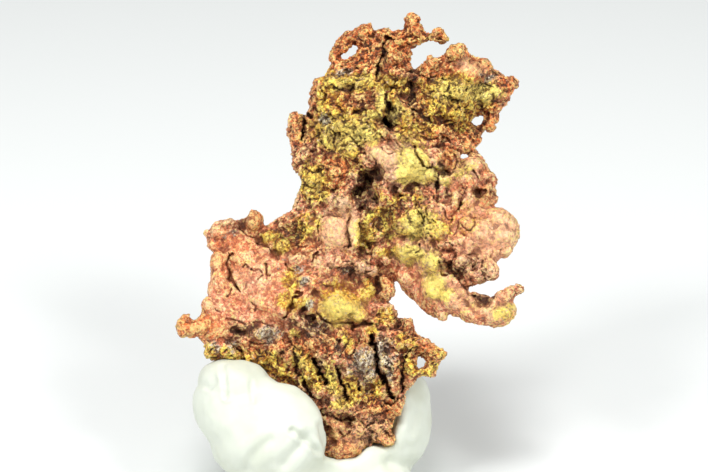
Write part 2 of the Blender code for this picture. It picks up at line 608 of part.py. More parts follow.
def finished(name, mesh, place, collection):
    obj = bpy.data.objects.new(name, mesh)
    obj.matrix_world = place
    mesh.materials.clear()
    mesh.materials.append(material(name))
    mesh.shade_flat()
    collection.objects.link(obj)
    return obj


def make_copper(collection):
    fine = copper_in_steps()
    mesh = thinned(fine.copy(), COPPER_TRIANGLES)
    mesh.transform(Matrix.Scale(GRID, 4))
    return finished("native_copper", mesh, copper_place(), collection), fine


def make_cutter(name, mesh, place, collection):
    obj = bpy.data.objects.new(name, mesh)
    obj.matrix_world = place
    obj.hide_render = True
    obj.display_type = "WIRE"
    collection.objects.link(obj)
    return obj


def swollen(mesh, gap):
    """The mesh pushed out along its normals by that gap, and fused again."""
    grown = mesh.copy()
    put(grown, places(grown) + normals(grown) * gap)
    return largest_body(fused(grown, VOXEL * 1.3))


def make_putty(collection, cutters, fine_copper):
    bm = bmesh.new()
    for centre, radii in PUTTY_BALLS:
        place = Matrix.Translation(centre) @ Matrix.Diagonal((*radii, 1))
        bmesh.ops.create_icosphere(bm, subdivisions=4, radius=1, matrix=place)
    mesh = bpy.data.meshes.new("putty")
    bm.to_mesh(mesh)
    bm.free()
    mesh = smoothed(fused(mesh, PUTTY_VOXEL), 6)
    mesh.transform(Matrix.Scale(MM, 4))
    socket = swollen(fine_copper, SOCKET_GAP)
    socket.transform(Matrix.Scale(GRID, 4))
    cutter = make_cutter("socket_cutter", socket, copper_place(), cutters)
    mesh = cut_by(mesh, cutter)
    mesh.transform(Matrix.Scale(1 / MM, 4))
    mesh = smoothed(largest_body(fused(mesh, PUTTY_VOXEL)), 1)
    mesh = flat_underneath(thinned(mesh, PUTTY_TRIANGLES))
    mesh.transform(Matrix.Scale(MM, 4))
    return finished("mounting_putty", mesh, Matrix.Identity(4), collection)


def cut_by(mesh, cutter):
    return mesh_after(mesh, "cut", {"type": "BOOLEAN", "operation": "DIFFERENCE", "object": cutter})


def flat_underneath(mesh):
    """Cuts the lump off flat at z = 0, where it is pressed on the table."""
    bm = bmesh.new()
    bm.from_mesh(mesh)
    geometry = bm.verts[:] + bm.edges[:] + bm.faces[:]
    cut = bmesh.ops.bisect_plane(bm, geom=geometry, plane_co=(0, 0, 0), plane_no=(0, 0, -1), clear_outer=True)
    rim = [item for item in cut["geom_cut"] if isinstance(item, bmesh.types.BMEdge)]
    bmesh.ops.holes_fill(bm, edges=rim)
    bmesh.ops.recalc_face_normals(bm, faces=bm.faces[:])
    bm.to_mesh(mesh)
    bm.free()
    return mesh


def collection_named(name):
    made = bpy.data.collections.new(name)
    bpy.context.scene.collection.children.link(made)
    return made


def main():
    clear_scene()
    specimen = collection_named("native_copper_specimen")
    cutters = collection_named("cutters")
    _, fine = make_copper(specimen)
    make_putty(specimen, cutters, fine)


main()
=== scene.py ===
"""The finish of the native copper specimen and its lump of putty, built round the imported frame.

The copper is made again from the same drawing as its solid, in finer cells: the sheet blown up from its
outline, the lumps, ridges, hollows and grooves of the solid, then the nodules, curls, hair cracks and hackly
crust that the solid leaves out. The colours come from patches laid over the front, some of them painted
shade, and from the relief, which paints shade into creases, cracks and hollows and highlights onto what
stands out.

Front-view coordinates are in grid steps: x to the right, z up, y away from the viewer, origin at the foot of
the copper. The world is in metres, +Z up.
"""

import math

import bmesh
import bpy
import numpy as np
from mathutils import Matrix, Vector


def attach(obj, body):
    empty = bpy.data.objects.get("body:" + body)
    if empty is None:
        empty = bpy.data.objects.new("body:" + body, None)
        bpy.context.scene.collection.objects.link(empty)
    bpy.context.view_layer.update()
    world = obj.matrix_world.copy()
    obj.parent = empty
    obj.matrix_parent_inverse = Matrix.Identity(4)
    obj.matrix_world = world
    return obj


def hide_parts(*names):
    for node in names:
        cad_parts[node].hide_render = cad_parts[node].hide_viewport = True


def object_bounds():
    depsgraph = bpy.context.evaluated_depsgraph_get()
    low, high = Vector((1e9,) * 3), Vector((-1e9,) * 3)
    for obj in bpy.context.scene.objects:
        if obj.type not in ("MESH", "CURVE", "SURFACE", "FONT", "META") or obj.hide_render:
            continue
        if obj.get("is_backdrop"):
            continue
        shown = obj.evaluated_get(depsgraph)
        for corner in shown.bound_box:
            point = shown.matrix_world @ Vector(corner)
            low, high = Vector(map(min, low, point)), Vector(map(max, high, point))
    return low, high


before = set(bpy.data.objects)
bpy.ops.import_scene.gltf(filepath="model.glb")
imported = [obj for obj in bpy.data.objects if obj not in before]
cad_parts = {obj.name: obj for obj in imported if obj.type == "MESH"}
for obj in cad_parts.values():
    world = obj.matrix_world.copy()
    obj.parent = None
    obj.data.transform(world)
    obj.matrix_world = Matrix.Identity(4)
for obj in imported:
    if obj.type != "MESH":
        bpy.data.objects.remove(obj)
cad_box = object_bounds()

# ---- driving dimensions, as in the solid ----
COPPER_HEIGHT = 0.0672  # m, foot to top knob, along the copper
STEPS_HIGH = 448  # the same height in grid steps
GRID = COPPER_HEIGHT / STEPS_HIGH  # one grid step, 0.15 mm
LEAN = math.radians(25)  # the copper leans back in the putty
FOOT = Vector((0.0055, -0.0080, 0.0085))  # where the foot of the copper stands, in the world
EDGE_ROUND = 13  # steps, how far in from its edge the sheet is rounded
THICKENING = 0.42  # how fast it goes on thickening towards its middle
DEEPEST = 0.9  # how deep a hollow may go, in half thicknesses
HOLLOW_DEPTH = 0.32  # of its depth on the solid
PLATE_HALF = 12  # steps, half the thickness of the plate that the sheet is blown up from
COARSE_CELL = 1.7  # steps, the cell that the plate is cut from
FINE_CELL = 1.1  # steps, the cell that the copper is fused at in the end
LUMP_CELL = 1.3 * FINE_CELL  # the cell for fusing the lumps to the sheet
HOLLOW_CELL = 1.2 * FINE_CELL  # the cell for fusing it again, once the hollows are pressed in
COPPER_TRIANGLES = 196000
CRACK_WIDTH = 0.5  # of a groove's width on the solid
CRACK_DEPTH = 0.45  # of its depth there
EYE = (4, -2490, 224)  # the front view is drawn as seen from here, 374 mm in front of the sheet

# ---- the copper's outline, clockwise from the foot ----
FOOT_EDGE = [
    (-5, 0), (-13, 0), (-22, 3), (-34, 10), (-44, 22), (-54, 34), (-70, 48), (-92, 62), (-110, 76),
    (-118, 88),
]
LEFT_RIM = [
    (-122, 96), (-130, 100), (-137, 102), (-142, 105), (-144, 111), (-147, 117), (-150, 122), (-154, 124),
    (-158, 121), (-162, 124), (-169, 122), (-173, 128), (-171, 134), (-171, 141), (-167, 146), (-161, 145),
    (-160, 139), (-152, 143), (-149, 147), (-146, 147), (-148, 153), (-146, 160), (-141, 163), (-143, 173),
    (-139, 188), (-140, 197), (-134, 208), (-139, 211), (-143, 219), (-140, 228), (-139, 233), (-134, 238),
    (-126, 241), (-118, 244), (-112, 240), (-102, 244), (-100, 249), (-94, 250), (-88, 247), (-86, 242),
    (-87, 233),
]
SHOULDER_RIM = [
    (-80, 237), (-74, 239), (-72, 243), (-66, 246), (-54, 254), (-50, 260), (-50, 267), (-47, 277),
    (-52, 286), (-59, 295), (-59, 315), (-62, 325), (-61, 337), (-57, 344), (-50, 348), (-45, 344),
    (-43, 349), (-40, 352), (-42, 356), (-39, 360), (-39, 369), (-33, 381), (-27, 388), (-20, 393),
    (-17, 399),
]
CROWN_RIM = [
    (-20, 402), (-18, 411), (-13, 419), (-6, 425), (2, 431), (10, 435), (18, 438), (23, 436), (24, 428),
    (30, 429), (38, 431), (46, 430), (56, 434), (55, 440), (59, 446), (65, 447), (70, 443), (71, 436),
    (74, 430), (80, 427), (83, 432), (89, 432), (92, 428), (98, 426), (101, 422), (98, 418), (91, 416),
    (86, 418), (78, 418), (68, 414), (61, 411), (60, 404), (57, 399), (60, 394),
]
WING_RIM = [
    (65, 390), (69, 395), (78, 401), (80, 405), (85, 402), (94, 407), (99, 412), (103, 416), (108, 417),
    (112, 414), (113, 410), (120, 404), (130, 401), (140, 396), (148, 388), (157, 381), (164, 380),
    (170, 380), (167, 373), (157, 358), (152, 354), (147, 346), (148, 338), (146, 332), (140, 327),
    (134, 328), (127, 316), (125, 309),
]
RIGHT_RIM = [
    (129, 306), (133, 301), (137, 295), (140, 287), (146, 284), (148, 279), (145, 275), (145, 269),
    (148, 262), (146, 257), (140, 255), (144, 252), (154, 251), (162, 247), (168, 241), (171, 233),
    (170, 224), (166, 216), (160, 212), (155, 206), (147, 200), (147, 190), (145, 182), (141, 177),
    (134, 176), (126, 175), (116, 173),
]
TONGUE_RIM = [
    (119, 168), (127, 167), (134, 167), (140, 164), (144, 164), (147, 170), (152, 173), (160, 174),
    (166, 176), (172, 175), (174, 171), (170, 166), (164, 162), (163, 158), (167, 154), (166, 147),
    (162, 142), (160, 136), (154, 134), (141, 132), (134, 135), (118, 137), (104, 144), (99, 148), (97, 144),
    (98, 140), (86, 140), (89, 143), (77, 150), (62, 161), (52, 171), (49, 177), (44, 182),
]
FAN_RIM = [
    (41, 183), (43, 174), (42, 166), (38, 160), (34, 156), (41, 151), (47, 145), (45, 141), (50, 143),
    (58, 143), (63, 138), (67, 125), (74, 124), (81, 121), (84, 116), (90, 113), (95, 110), (96, 106),
    (92, 100), (87, 94), (86, 88), (73, 84), (67, 80), (63, 74), (52, 67), (54, 60), (54, 54), (49, 49),
    (46, 42), (39, 30), (42, 26), (45, 21), (42, 17), (35, 16), (27, 17), (22, 19), (18, 14), (12, 11),
    (9, 6), (3, 1),
]
OUTLINE = FOOT_EDGE + LEFT_RIM + SHOULDER_RIM + CROWN_RIM + WING_RIM + RIGHT_RIM + TONGUE_RIM + FAN_RIM
THROUGH_HOLES = {
    "crown_loop": [
        (-13, 405), (-12, 401), (-5, 400), (2, 402), (8, 406), (10, 412), (8, 417), (1, 417), (1, 412),
        (-5, 408),
    ],
    "wing_arm": [(121, 334), (132, 335), (138, 343), (131, 346), (125, 341)],
    "shoulder": [(107, 302), (113, 299), (120, 302), (119, 308), (111, 308)],
    "fan_eye": [(63, 98), (67, 103), (72, 104), (77, 99), (78, 93), (72, 92), (66, 94)],
}

# How the middle of the sheet bends to and fro: (x, z, reach, shift in y), a minus sign towards the viewer.
BENDS = [
    (-165, 130, 40, -28), (-105, 180, 50, 12), (-125, 235, 30, 12), (-50, 330, 30, 18), (-10, 415, 45, 20),
    (62, 440, 40, 8), (95, 425, 30, -22), (160, 378, 45, 34), (135, 335, 25, 18), (150, 225, 45, -26),
    (165, 150, 40, -36), (110, 160, 40, -14), (85, 100, 35, -22), (40, 285, 60, -14), (-5, 15, 40, -4),
    (-110, 105, 35, 12), (40, 20, 25, 12),
]

# ---- rounded lumps on the front ----
# (x, z, half width, half height, turn in degrees, how far it stands proud). Here, and in the lists of hollows
# and patches, a turn of 0 is left out.
FRONT_LUMPS = {
    "crown": [
        (63, 440, 7, 7, 6), (66, 428, 7, 6, 40, 5), (87, 427, 5, 5, 5), (94, 423, 5, 4, -20, 5),
        (14, 425, 11, 9, 30, 4), (-6, 411, 7, 3, 32, 6), (18, 404, 13, 10, 5), (48, 418, 11, 7, 30, 6),
        (44, 400, 8, 11, 10, 8), (45, 387, 9, 7, -10, 9), (33, 425, 9, 5, 3),
    ],
    "head": [
        (-18, 372, 18, 15, 20, 7), (3, 377, 15, 8, -10, 8), (-24, 350, 12, 13, 5), (12, 360, 9, 8, 6),
        (-54, 330, 8, 18, 4, 7), (-28, 320, 9, 6, -15, 8), (16, 326, 15, 9, -20, 9), (-8, 332, 13, 9, 10, 6),
        (4, 308, 11, 9, 7), (-38, 283, 12, 15, 10, 6), (-12, 290, 14, 13, 5), (-45, 305, 10, 8, 6),
    ],
    "wing": [
        (105, 406, 9, 8, 10, 8), (112, 388, 22, 13, -15, 7), (137, 367, 17, 9, 10, 7),
        (158, 375, 11, 6, 10, 3), (83, 395, 6, 7, 6), (98, 371, 20, 10, 7), (76, 354, 13, 9, -30, 6),
        (98, 347, 18, 7, 8), (141, 337, 7, 10, 6), (124, 322, 7, 10, 30, 4), (84, 328, 17, 9, 6),
        (112, 316, 8, 10, 7), (145, 353, 7, 4, 4), (58, 322, 13, 8, -25, 6),
    ],
    "ledge": [
        (35, 303, 18, 12, -25, 14), (60, 296, 20, 17, -10, 16), (84, 300, 16, 10, -25, 12),
        (100, 302, 10, 10, 9), (95, 279, 8, 6, 11), (48, 286, 15, 8, 10, 14), (76, 284, 14, 7, 12),
    ],
    "right": [
        (124, 293, 11, 11, 9), (115, 279, 9, 8, 8), (138, 283, 7, 6, 5), (134, 258, 11, 7, 6),
        (118, 262, 7, 10, 20, 8), (104, 262, 6, 9, 8), (117, 236, 9, 7, -15, 10), (150, 240, 18, 10, -25, 9),
        (148, 222, 20, 14, 7), (132, 228, 16, 14, 7), (112, 198, 10, 9, -20, 12), (126, 188, 14, 10, 7),
        (140, 190, 8, 13, 8), (124, 200, 5, 4, 8), (155, 210, 8, 7, 30, 5),
    ],
    "middle": [
        (-12, 226, 19, 19, 13), (5, 227, 5, 17, 12), (-6, 258, 15, 11, 15, 11), (-30, 262, 14, 9, 20, 6),
        (24, 262, 6, 14, -10, 7), (12, 262, 7, 10, -14), (38, 262, 11, 9, 8), (60, 240, 20, 16, 8),
        (25, 233, 17, 17, 6), (85, 247, 14, 11, 8), (88, 228, 15, 11, 8), (60, 212, 20, 12, 8),
        (85, 200, 13, 15, 8), (26, 208, 12, 8, 15, 8), (13, 192, 13, 6, -15, 11), (-10, 200, 18, 9, 6),
        (100, 216, 10, 7, 7),
    ],
    "tongue": [
        (60, 182, 14, 12, -35, 7), (85, 172, 16, 14, -30, 8), (105, 160, 15, 11, -25, 8),
        (125, 145, 16, 8, -15, 9), (148, 146, 14, 9, 10, 10), (156, 164, 12, 6, 35, 10), (93, 145, 5, 5, 2),
        (140, 141, 12, 7, 8), (169, 171, 5, 4, 20, 4),
    ],
    "left wing": [
        (-130, 230, 11, 8, 15, 8), (-123, 237, 12, 4, 15, 9), (-96, 239, 8, 11, 10), (-131, 197, 9, 11, 7),
        (-130, 177, 11, 13, 7), (-134, 214, 8, 6, 4), (-104, 200, 14, 12, 5), (-85, 190, 13, 10, 10, 5),
        (-80, 222, 8, 5, -15, 7), (-67, 214, 7, 7, 40, 8), (-62, 235, 12, 9, 25, 6), (-45, 238, 12, 12, 6),
        (-118, 152, 17, 14, 3), (-85, 158, 18, 12, 4), (-168, 131, 5, 9, 5, 4), (-165, 142, 5, 4, 3),
        (-142, 155, 6, 8, 4), (-66, 152, 8, 11, -20, 6), (-50, 200, 13, 8, 5), (-68, 180, 9, 11, 4),
        (-44, 180, 9, 7, 5), (-20, 180, 14, 7, 5),
    ],
    "dome": [
        (-10, 156, 24, 20, -20, 14), (6, 146, 13, 8, -10, 12), (13, 168, 13, 12, 8), (36, 172, 7, 13, 9),
    ],
    "lower left": [
        (-83, 129, 16, 6, 12, 8), (-106, 119, 10, 5, -45, 7), (-124, 108, 15, 7, -15, 8),
        (-138, 108, 6, 6, 5), (-98, 106, 9, 7, -20, 9), (-92, 98, 9, 7, 20, 9), (-72, 108, 9, 6, 25, 8),
        (-70, 96, 12, 8, -20, 7), (-58, 108, 9, 9, 8), (-55, 128, 8, 6, 8), (-38, 118, 11, 8, 7),
        (-22, 118, 10, 9, 30, 7), (-62, 84, 12, 7, -25, 7), (-28, 104, 7, 5, 8), (-17, 98, 8, 4, 15, 9),
    ],
    "fan": [
        (36, 152, 9, 6, -25, 7), (57, 135, 7, 8, 7), (55, 118, 11, 9, 10), (40, 122, 10, 14, 10, 8),
        (44, 95, 10, 20, 12, 9), (42, 76, 8, 12, 15, 8), (72, 115, 12, 8, -10, 6), (90, 106, 7, 6, 7),
        (61, 97, 5, 9, 8), (70, 87, 9, 5, 5, 7), (82, 92, 6, 9, 7), (14, 102, 12, 17, 9),
        (20, 82, 7, 10, 20, 10), (28, 70, 8, 8, 30, 8), (1, 112, 6, 12, -15, 8), (58, 78, 6, 6, 4),
    ],
    "foot": [
        (3, 47, 6, 5, 7), (20, 50, 15, 7, 5, 7), (42, 52, 10, 8, 20, 6), (-12, 34, 8, 7, 7),
        (8, 32, 10, 10, 7), (30, 36, 11, 9, 6), (34, 21, 10, 5, -5, 5), (-8, 12, 17, 11, 5),
        (-20, 48, 9, 4, -25, 8),
    ],
}

# ---- ridges that run over the front: radius, how far proud, then the points ----
FRONT_RIDGES = [
    (5.2, 12, [(10, 341), (20, 343), (28, 349), (32, 358), (32, 368), (29, 375)]),
    (5.2, 12, [(43, 369), (44, 357), (48, 347), (54, 338)]), (4, 8, [(48, 376), (55, 381)]),
    (3.5, 8, [(50, 368), (58, 370)]), (7, 8, [(-50, 103), (-47, 95), (-40, 87), (-34, 78), (-31, 72)]),
    (7, 8, [(-18, 91), (-19, 80), (-13, 70), (-17, 60), (-10, 53), (0, 54)]),
    (5, 8, [(0, 77), (2, 67), (8, 60)]), (4, 8, [(9, 76), (12, 68)]),
    (4, 7, [(-8, 126), (-6, 112), (-12, 104)]), (4, 7, [(24, 130), (30, 118), (33, 100), (38, 82), (45, 68)]),
    (3.5, 7, [(15, 198), (28, 207), (36, 199)]), (3.5, 6, [(100, 252), (109, 258), (115, 270), (124, 276)]),
    (
        3.5, 8,
        [(108, 170), (116, 166), (122, 159), (128, 154), (134, 150), (140, 152), (146, 158), (151, 167)],
    ),
    (3.5, 6, [(-143, 226), (-132, 228), (-118, 232)]),
    (3, 6, [(-80, 111), (-74, 114), (-68, 112), (-66, 106), (-72, 102)]),
    (3.5, 6, [(62, 112), (57, 103), (56, 92), (63, 86)]),
]

# ---- hollows pressed into the front: (x, z, half width, half height, turn in degrees, depth) ----
FRONT_HOLLOWS = [
    (33, 340, 6, 6, 35, 46), (40, 337, 6, 7, 46), (36, 331, 6, 3, 30), (42, 345, 4, 4, 36),
    (38, 353, 3, 9, 5, 44), (14, 281, 7, 6, 40, 46), (23, 285, 9, 6, 10, 50), (31, 283, 4, 6, -30, 34),
    (17, 275, 7, 5, 30, 46), (13, 261, 8, 12, 26), (8, 268, 5, 6, -20, 36), (13, 272, 6, 4, 34),
    (23, 266, 4, 7, 10, 36), (23, 258, 4, 7, 38), (17, 250, 6, 4, -30, 32), (6, 260, 2, 6, 24),
    (44, 271, 4, 4, 26), (47, 266, 2, 3, 20), (60, 272, 5, 4, 20, 24), (66, 275, 4, 3, 24),
    (71, 270, 4, 3, -20, 24), (62, 266, 3, 3, 20), (97, 264, 3, 4, 20, 20), (95, 258, 3, 4, 20),
    (90, 297, 2, 3, 20), (93, 291, 4, 4, 45, 24), (98, 287, 3, 2, 20), (126, 269, 4, 3, 22),
    (128, 263, 3, 4, 20, 22), (132, 267, 2, 4, 20), (143, 267, 3, 5, 20, 18), (141, 260, 3, 3, 18),
    (135, 277, 5, 3, 20, 14), (142, 284, 4, 2, -20, 14), (103, 192, 4, 4, -40, 26), (107, 187, 4, 5, -40, 26),
    (111, 183, 3, 3, 20), (92, 191, 2, 6, 16), (95, 185, 4, 2, 12), (124, 194, 4, 3, 20, 14),
    (125, 208, 5, 3, 30, 16), (132, 213, 4, 2, 30, 12), (132, 160, 10, 7, -15, 34), (28, 176, 3, 13, -4, 18),
    (-108, 238, 4, 5, 20, 20), (-105, 232, 3, 3, 18), (-90, 221, 4, 4, 40, 18), (-84, 216, 5, 3, -30, 16),
    (-74, 206, 4, 5, 16), (-48, 148, 6, 5, 15, 34), (-40, 143, 7, 5, 34), (-36, 137, 5, 4, 26),
    (-57, 152, 6, 5, 20, 18), (-116, 131, 6, 5, -25, 14), (-108, 127, 6, 4, 14), (-72, 107, 5, 3, 20, 12),
    (50, 137, 5, 5, 22), (46, 132, 4, 4, 16), (60, 382, 4, 8, 26), (64, 370, 5, 8, 26), (58, 360, 4, 5, 16),
    (68, 387, 5, 4, 20), (31, 393, 4, 5, 20, 18), (29, 384, 4, 5, 18), (8, 346, 6, 4, -40, 18),
    (13, 350, 4, 3, 18), (-14, 252, 4, 4, -40, 14), (-40, 310, 6, 4, 20, 14), (-24, 303, 4, 4, 14),
    (-2, 38, 8, 3, -30, 18), (18, 20, 4, 6, 16), (127, 331, 5, 5, 30, 22), (133, 337, 5, 3, 30, 22),
    (-22, 22, 6, 14, 10, 14), (90, 313, 5, 4, 12), (-31, 218, 4, 3, 12), (-125, 212, 8, 4, -30, 8),
    (12, 206, 5, 6, 40, 14), (2, 182, 6, 4, 12), (-36, 166, 3, 5, 50, 12),
]

# ---- grooves and clefts in the front: half width, depth, then the points ----
FRONT_GROOVES = [
    (3.5, 26, [(-43, 346), (-46, 339), (-47, 330), (-48, 322)]),
    (4, 40, [(22, 124), (26, 112), (27, 98), (31, 84), (39, 68), (43, 62)]),
    (4.5, 34, [(-36, 101), (-31, 92), (-26, 82), (-22, 78)]),
    (4, 26, [(-12, 90), (-9, 78), (-5, 68), (-3, 62)]), (3, 18, [(8, 78), (9, 70)]),
    (3, 16, [(62, 112), (56, 104), (54, 92), (51, 78), (52, 70)]),
    (2.2, 9, [(-1, 241), (-2, 228), (-1, 214)]),
    (3, 13, [(-120, 204), (-121, 190), (-119, 179), (-111, 170)]), (3, 14, [(36, 368), (37, 358), (39, 350)]),
    (3.5, 14, [(37, 422), (34, 408), (28, 396), (26, 384)]),
    (3, 12, [(-30, 50), (-20, 46), (-8, 41), (4, 41)]),
    (3, 12, [(64, 314), (67, 302), (74, 295), (84, 291), (87, 282), (88, 271)]),
    (2.5, 9, [(104, 352), (110, 359)]), (3, 10, [(63, 350), (72, 343), (80, 337)]),
    (3, 12, [(-66, 142), (-58, 158), (-50, 164)]), (3.5, 13, [(2, 133), (12, 138), (22, 136)]),
    (3, 10, [(-118, 115), (-108, 109)]), (3, 14, [(-56, 112), (-52, 100), (-54, 88), (-46, 76), (-36, 62)]),
    (2.5, 10, [(5, 318), (12, 312), (15, 306)]), (3, 10, [(108, 250), (112, 262), (117, 270)]),
    (3, 10, [(-84, 196), (-82, 184)]),
]

# ---- hair cracks in the front, where one leaf laps over the next ----
HAIR_WIDTH = 0.9  # steps, half the width of a hair crack
HAIR_DEPTH = 3.0
HAIR_CRACKS = [
    [(62, 314), (66, 303), (71, 296), (77, 292), (84, 290), (87, 284), (87, 276), (89, 269)],
    [(100, 287), (105, 293), (107, 300), (103, 305)], [(124, 290), (128, 283), (129, 279)],
    [(90, 297), (93, 291), (98, 287)],
    [(113, 272), (115, 270), (112, 264), (110, 258), (109, 252), (106, 248), (101, 243), (100, 238)],
    [(64, 262), (65, 255), (67, 250), (72, 246), (74, 240)], [(75, 247), (75, 240), (72, 236)],
    [(82, 242), (86, 238), (88, 234)], [(76, 232), (82, 230)], [(75, 223), (78, 226), (82, 223)],
    [(85, 219), (84, 214)], [(70, 216), (70, 211), (66, 208)], [(97, 217), (104, 214)],
    [(107, 239), (108, 232), (106, 228), (103, 226)], [(110, 228), (114, 225)], [(97, 209), (103, 210)],
    [(94, 252), (94, 245), (97, 241), (101, 240)], [(125, 242), (125, 235), (121, 231)],
    [(117, 204), (122, 201), (126, 196), (121, 193)], [(119, 206), (125, 205), (129, 201)],
    [(105, 205), (102, 200), (105, 193), (110, 188)], [(90, 198), (90, 190), (91, 185), (97, 185)],
    [(90, 197), (97, 198), (101, 195)], [(108, 181), (112, 176), (116, 170), (118, 166), (125, 164)],
    [(133, 199), (131, 192), (134, 185), (136, 180)], [(120, 245), (124, 241)],
    [(111, 236), (116, 231), (122, 231)],
    [(-120, 207), (-119, 198), (-120, 190), (-121, 182), (-118, 177), (-112, 171)],
    [(-119, 172), (-120, 166), (-123, 163)], [(-99, 191), (-96, 189), (-91, 190), (-88, 187)],
    [(-84, 196), (-84, 188), (-83, 181)], [(-91, 181), (-87, 185)], [(-107, 194), (-103, 196), (-101, 193)],
    [(-64, 196), (-62, 191), (-57, 190)], [(-38, 199), (-36, 205), (-32, 208), (-34, 202)],
    [(0, 241), (-1, 232), (-2, 222), (-1, 214), (-5, 214)], [(-28, 242), (-18, 245), (-8, 242)],
    [(-57, 163), (-51, 164)], [(-30, 240), (-32, 230), (-31, 220)],
    [(-70, 224), (-62, 219), (-54, 214), (-44, 213)], [(-110, 232), (-104, 226), (-96, 222), (-90, 226)],
    [(-98, 158), (-94, 154), (-95, 149)], [(-135, 150), (-128, 146)], [(-22, 196), (-20, 192)],
    [(15, 198), (24, 194), (34, 196)], [(2, 190), (14, 187), (24, 190)], [(-92, 216), (-84, 214), (-78, 208)],
    [(-10, 392), (0, 388), (8, 392)], [(-30, 372), (-24, 366), (-26, 358)], [(-14, 372), (-6, 368), (2, 372)],
    [(-34, 350), (-28, 344), (-30, 336)], [(-12, 345), (-4, 340), (-6, 332)],
    [(4, 334), (10, 330), (18, 332)], [(-22, 332), (-14, 326), (-16, 318)], [(0, 322), (8, 318)],
    [(-30, 318), (-24, 312)], [(22, 330), (30, 326), (34, 318)], [(72, 384), (80, 380), (86, 384)],
    [(92, 382), (100, 378), (98, 370)], [(112, 382), (120, 378)], [(128, 374), (134, 378), (140, 374)],
    [(74, 366), (82, 362), (84, 354)], [(94, 364), (102, 360)], [(110, 352), (118, 356), (126, 352)],
    [(62, 346), (68, 338), (76, 334)], [(88, 340), (94, 334), (102, 336)], [(70, 324), (78, 320), (88, 322)],
    [(96, 322), (102, 316)], [(46, 318), (52, 312), (50, 304)], [(32, 312), (38, 306), (46, 308)],
    [(20, 306), (26, 300), (24, 294)], [(-44, 292), (-36, 288), (-30, 292)],
    [(-46, 276), (-38, 272), (-32, 276)], [(-42, 262), (-34, 260)],
    [(-34, 148), (-28, 140), (-20, 137), (-8, 136), (3, 136)], [(40, 138), (46, 146), (54, 146)],
    [(58, 124), (66, 120), (74, 122)], [(38, 124), (44, 118)], [(70, 104), (76, 108), (82, 104)],
    [(-96, 138), (-86, 136), (-76, 134)], [(-124, 140), (-114, 141), (-104, 138)],
    [(-100, 118), (-90, 116), (-80, 118)], [(-60, 118), (-54, 112)], [(-84, 108), (-78, 104)],
    [(-8, 105), (-4, 114), (2, 122)], [(2, 104), (6, 112), (10, 120)], [(48, 60), (40, 56), (32, 60)],
    [(-12, 30), (-6, 24), (0, 28)], [(10, 40), (16, 34), (24, 38)], [(34, 30), (40, 24)],
]

# ---- the back's lumps and hollows, and the small growths of both sides, scattered by rule ----
# A size that varies is given as its least, and what a full draw adds, in steps.
BACK_SEED = 11
BACK_LUMP_COUNT = 130
BACK_LUMP_RADIUS = (6, 9)
BACK_HOLLOW_COUNT = 46
BACK_HOLLOW_DEPTH = (6, 16)
BACK_HOLLOW_HALVES = [(4, 8), (3, 5)]
SIDE_SEEDS = {-1: 101, 1: 202}  # front and back
NODULE_COUNT = 36  # a side
NODULE_RADIUS = (2.6, 3.4)
CURL_COUNT = 70  # a side
CURL_RADIUS = (2.2, 1.3)
CURL_BALLS = (5, 6)  # how many balls make one
CURL_BEND = 0.8  # radians from ball to ball, between the two that bend most
ROUGH_ENOUGH = 0.3  # nodules and curls grow where less than this share of the crust is smooth


# ---- mesh tools ----
def in_scene(name, data):
    obj = bpy.data.objects.new(name, data)
    bpy.context.scene.collection.objects.link(obj)
    return obj


def mesh_from(obj):
    """The object's mesh with its modifiers applied. The object itself goes."""
    graph = bpy.context.evaluated_depsgraph_get()
    mesh = bpy.data.meshes.new_from_object(obj.evaluated_get(graph), depsgraph=graph)
    bpy.data.objects.remove(obj)
    return mesh


def mesh_after(mesh, kind, **settings):
    """The mesh with one modifier applied."""
    obj = in_scene("work", mesh)
    modifier = obj.modifiers.new("step", kind)
    for key, value in settings.items():
        setattr(modifier, key, value)
    return mesh_from(obj)


def fused(mesh, voxel):
    """One skin round everything that the mesh's closed shells hold, in cells of that size."""
    return mesh_after(mesh, "REMESH", mode="VOXEL", voxel_size=voxel)


def smoothed(mesh, rounds):
    return mesh_after(mesh, "SMOOTH", factor=0.5, iterations=rounds)


def places(mesh):
    points = np.empty(len(mesh.vertices) * 3)
    mesh.vertices.foreach_get("co", points)
    return points.reshape(-1, 3)


def normals(mesh):
    found = np.empty(len(mesh.vertices) * 3, np.float32)
    mesh.vertex_normals.foreach_get("vector", found)
    return found.reshape(-1, 3).astype(float)


def put(mesh, points):
    mesh.vertices.foreach_set("co", points.ravel())
    mesh.update()


def largest_body(mesh):
    """Drops the crumbs and sealed bubbles that fusing leaves."""
    bm = bmesh.new()
    bm.from_mesh(mesh)
    todo, bodies = set(bm.verts), []
    while todo:
        body, edge = set(), [todo.pop()]
        while edge:
            vertex = edge.pop()
            body.add(vertex)
            for link in vertex.link_edges:
                other = link.other_vert(vertex)
                if other in todo:
                    todo.remove(other)
                    edge.append(other)
        bodies.append(body)
    keep = max(bodies, key=len)
    bmesh.ops.delete(bm, geom=[v for v in bm.verts if v not in keep], context="VERTS")
    bm.to_mesh(mesh)
    bm.free()
    return mesh


def thinned(mesh, triangles):
    bm = bmesh.new()
    bm.from_mesh(mesh)
    bmesh.ops.triangulate(bm, faces=bm.faces[:])
    bm.to_mesh(mesh)
    bm.free()
    ratio = triangles / len(mesh.polygons)
    return mesh_after(mesh, "DECIMATE", ratio=ratio, use_collapse_triangulate=True)


def seen_from_eye(mesh):
    """Moves what lies off the drawing plane so that it keeps its place as seen from the eye."""
    points = places(mesh)
    farther = 1 - points[:, 1] / EYE[1]
    points[:, 0] = EYE[0] + (points[:, 0] - EYE[0]) * farther
    points[:, 2] = EYE[2] + (points[:, 2] - EYE[2]) * farther
    put(mesh, points)


# ---- the outline blown up ----
CELL = 2  # steps, the grid that the skin is stretched on
MARGIN = 8  # steps, round the outline
MOST_ROUNDS = 600  # of stretching
CLOSE_ENOUGH = 1e-6  # what may be left of the sum of squares


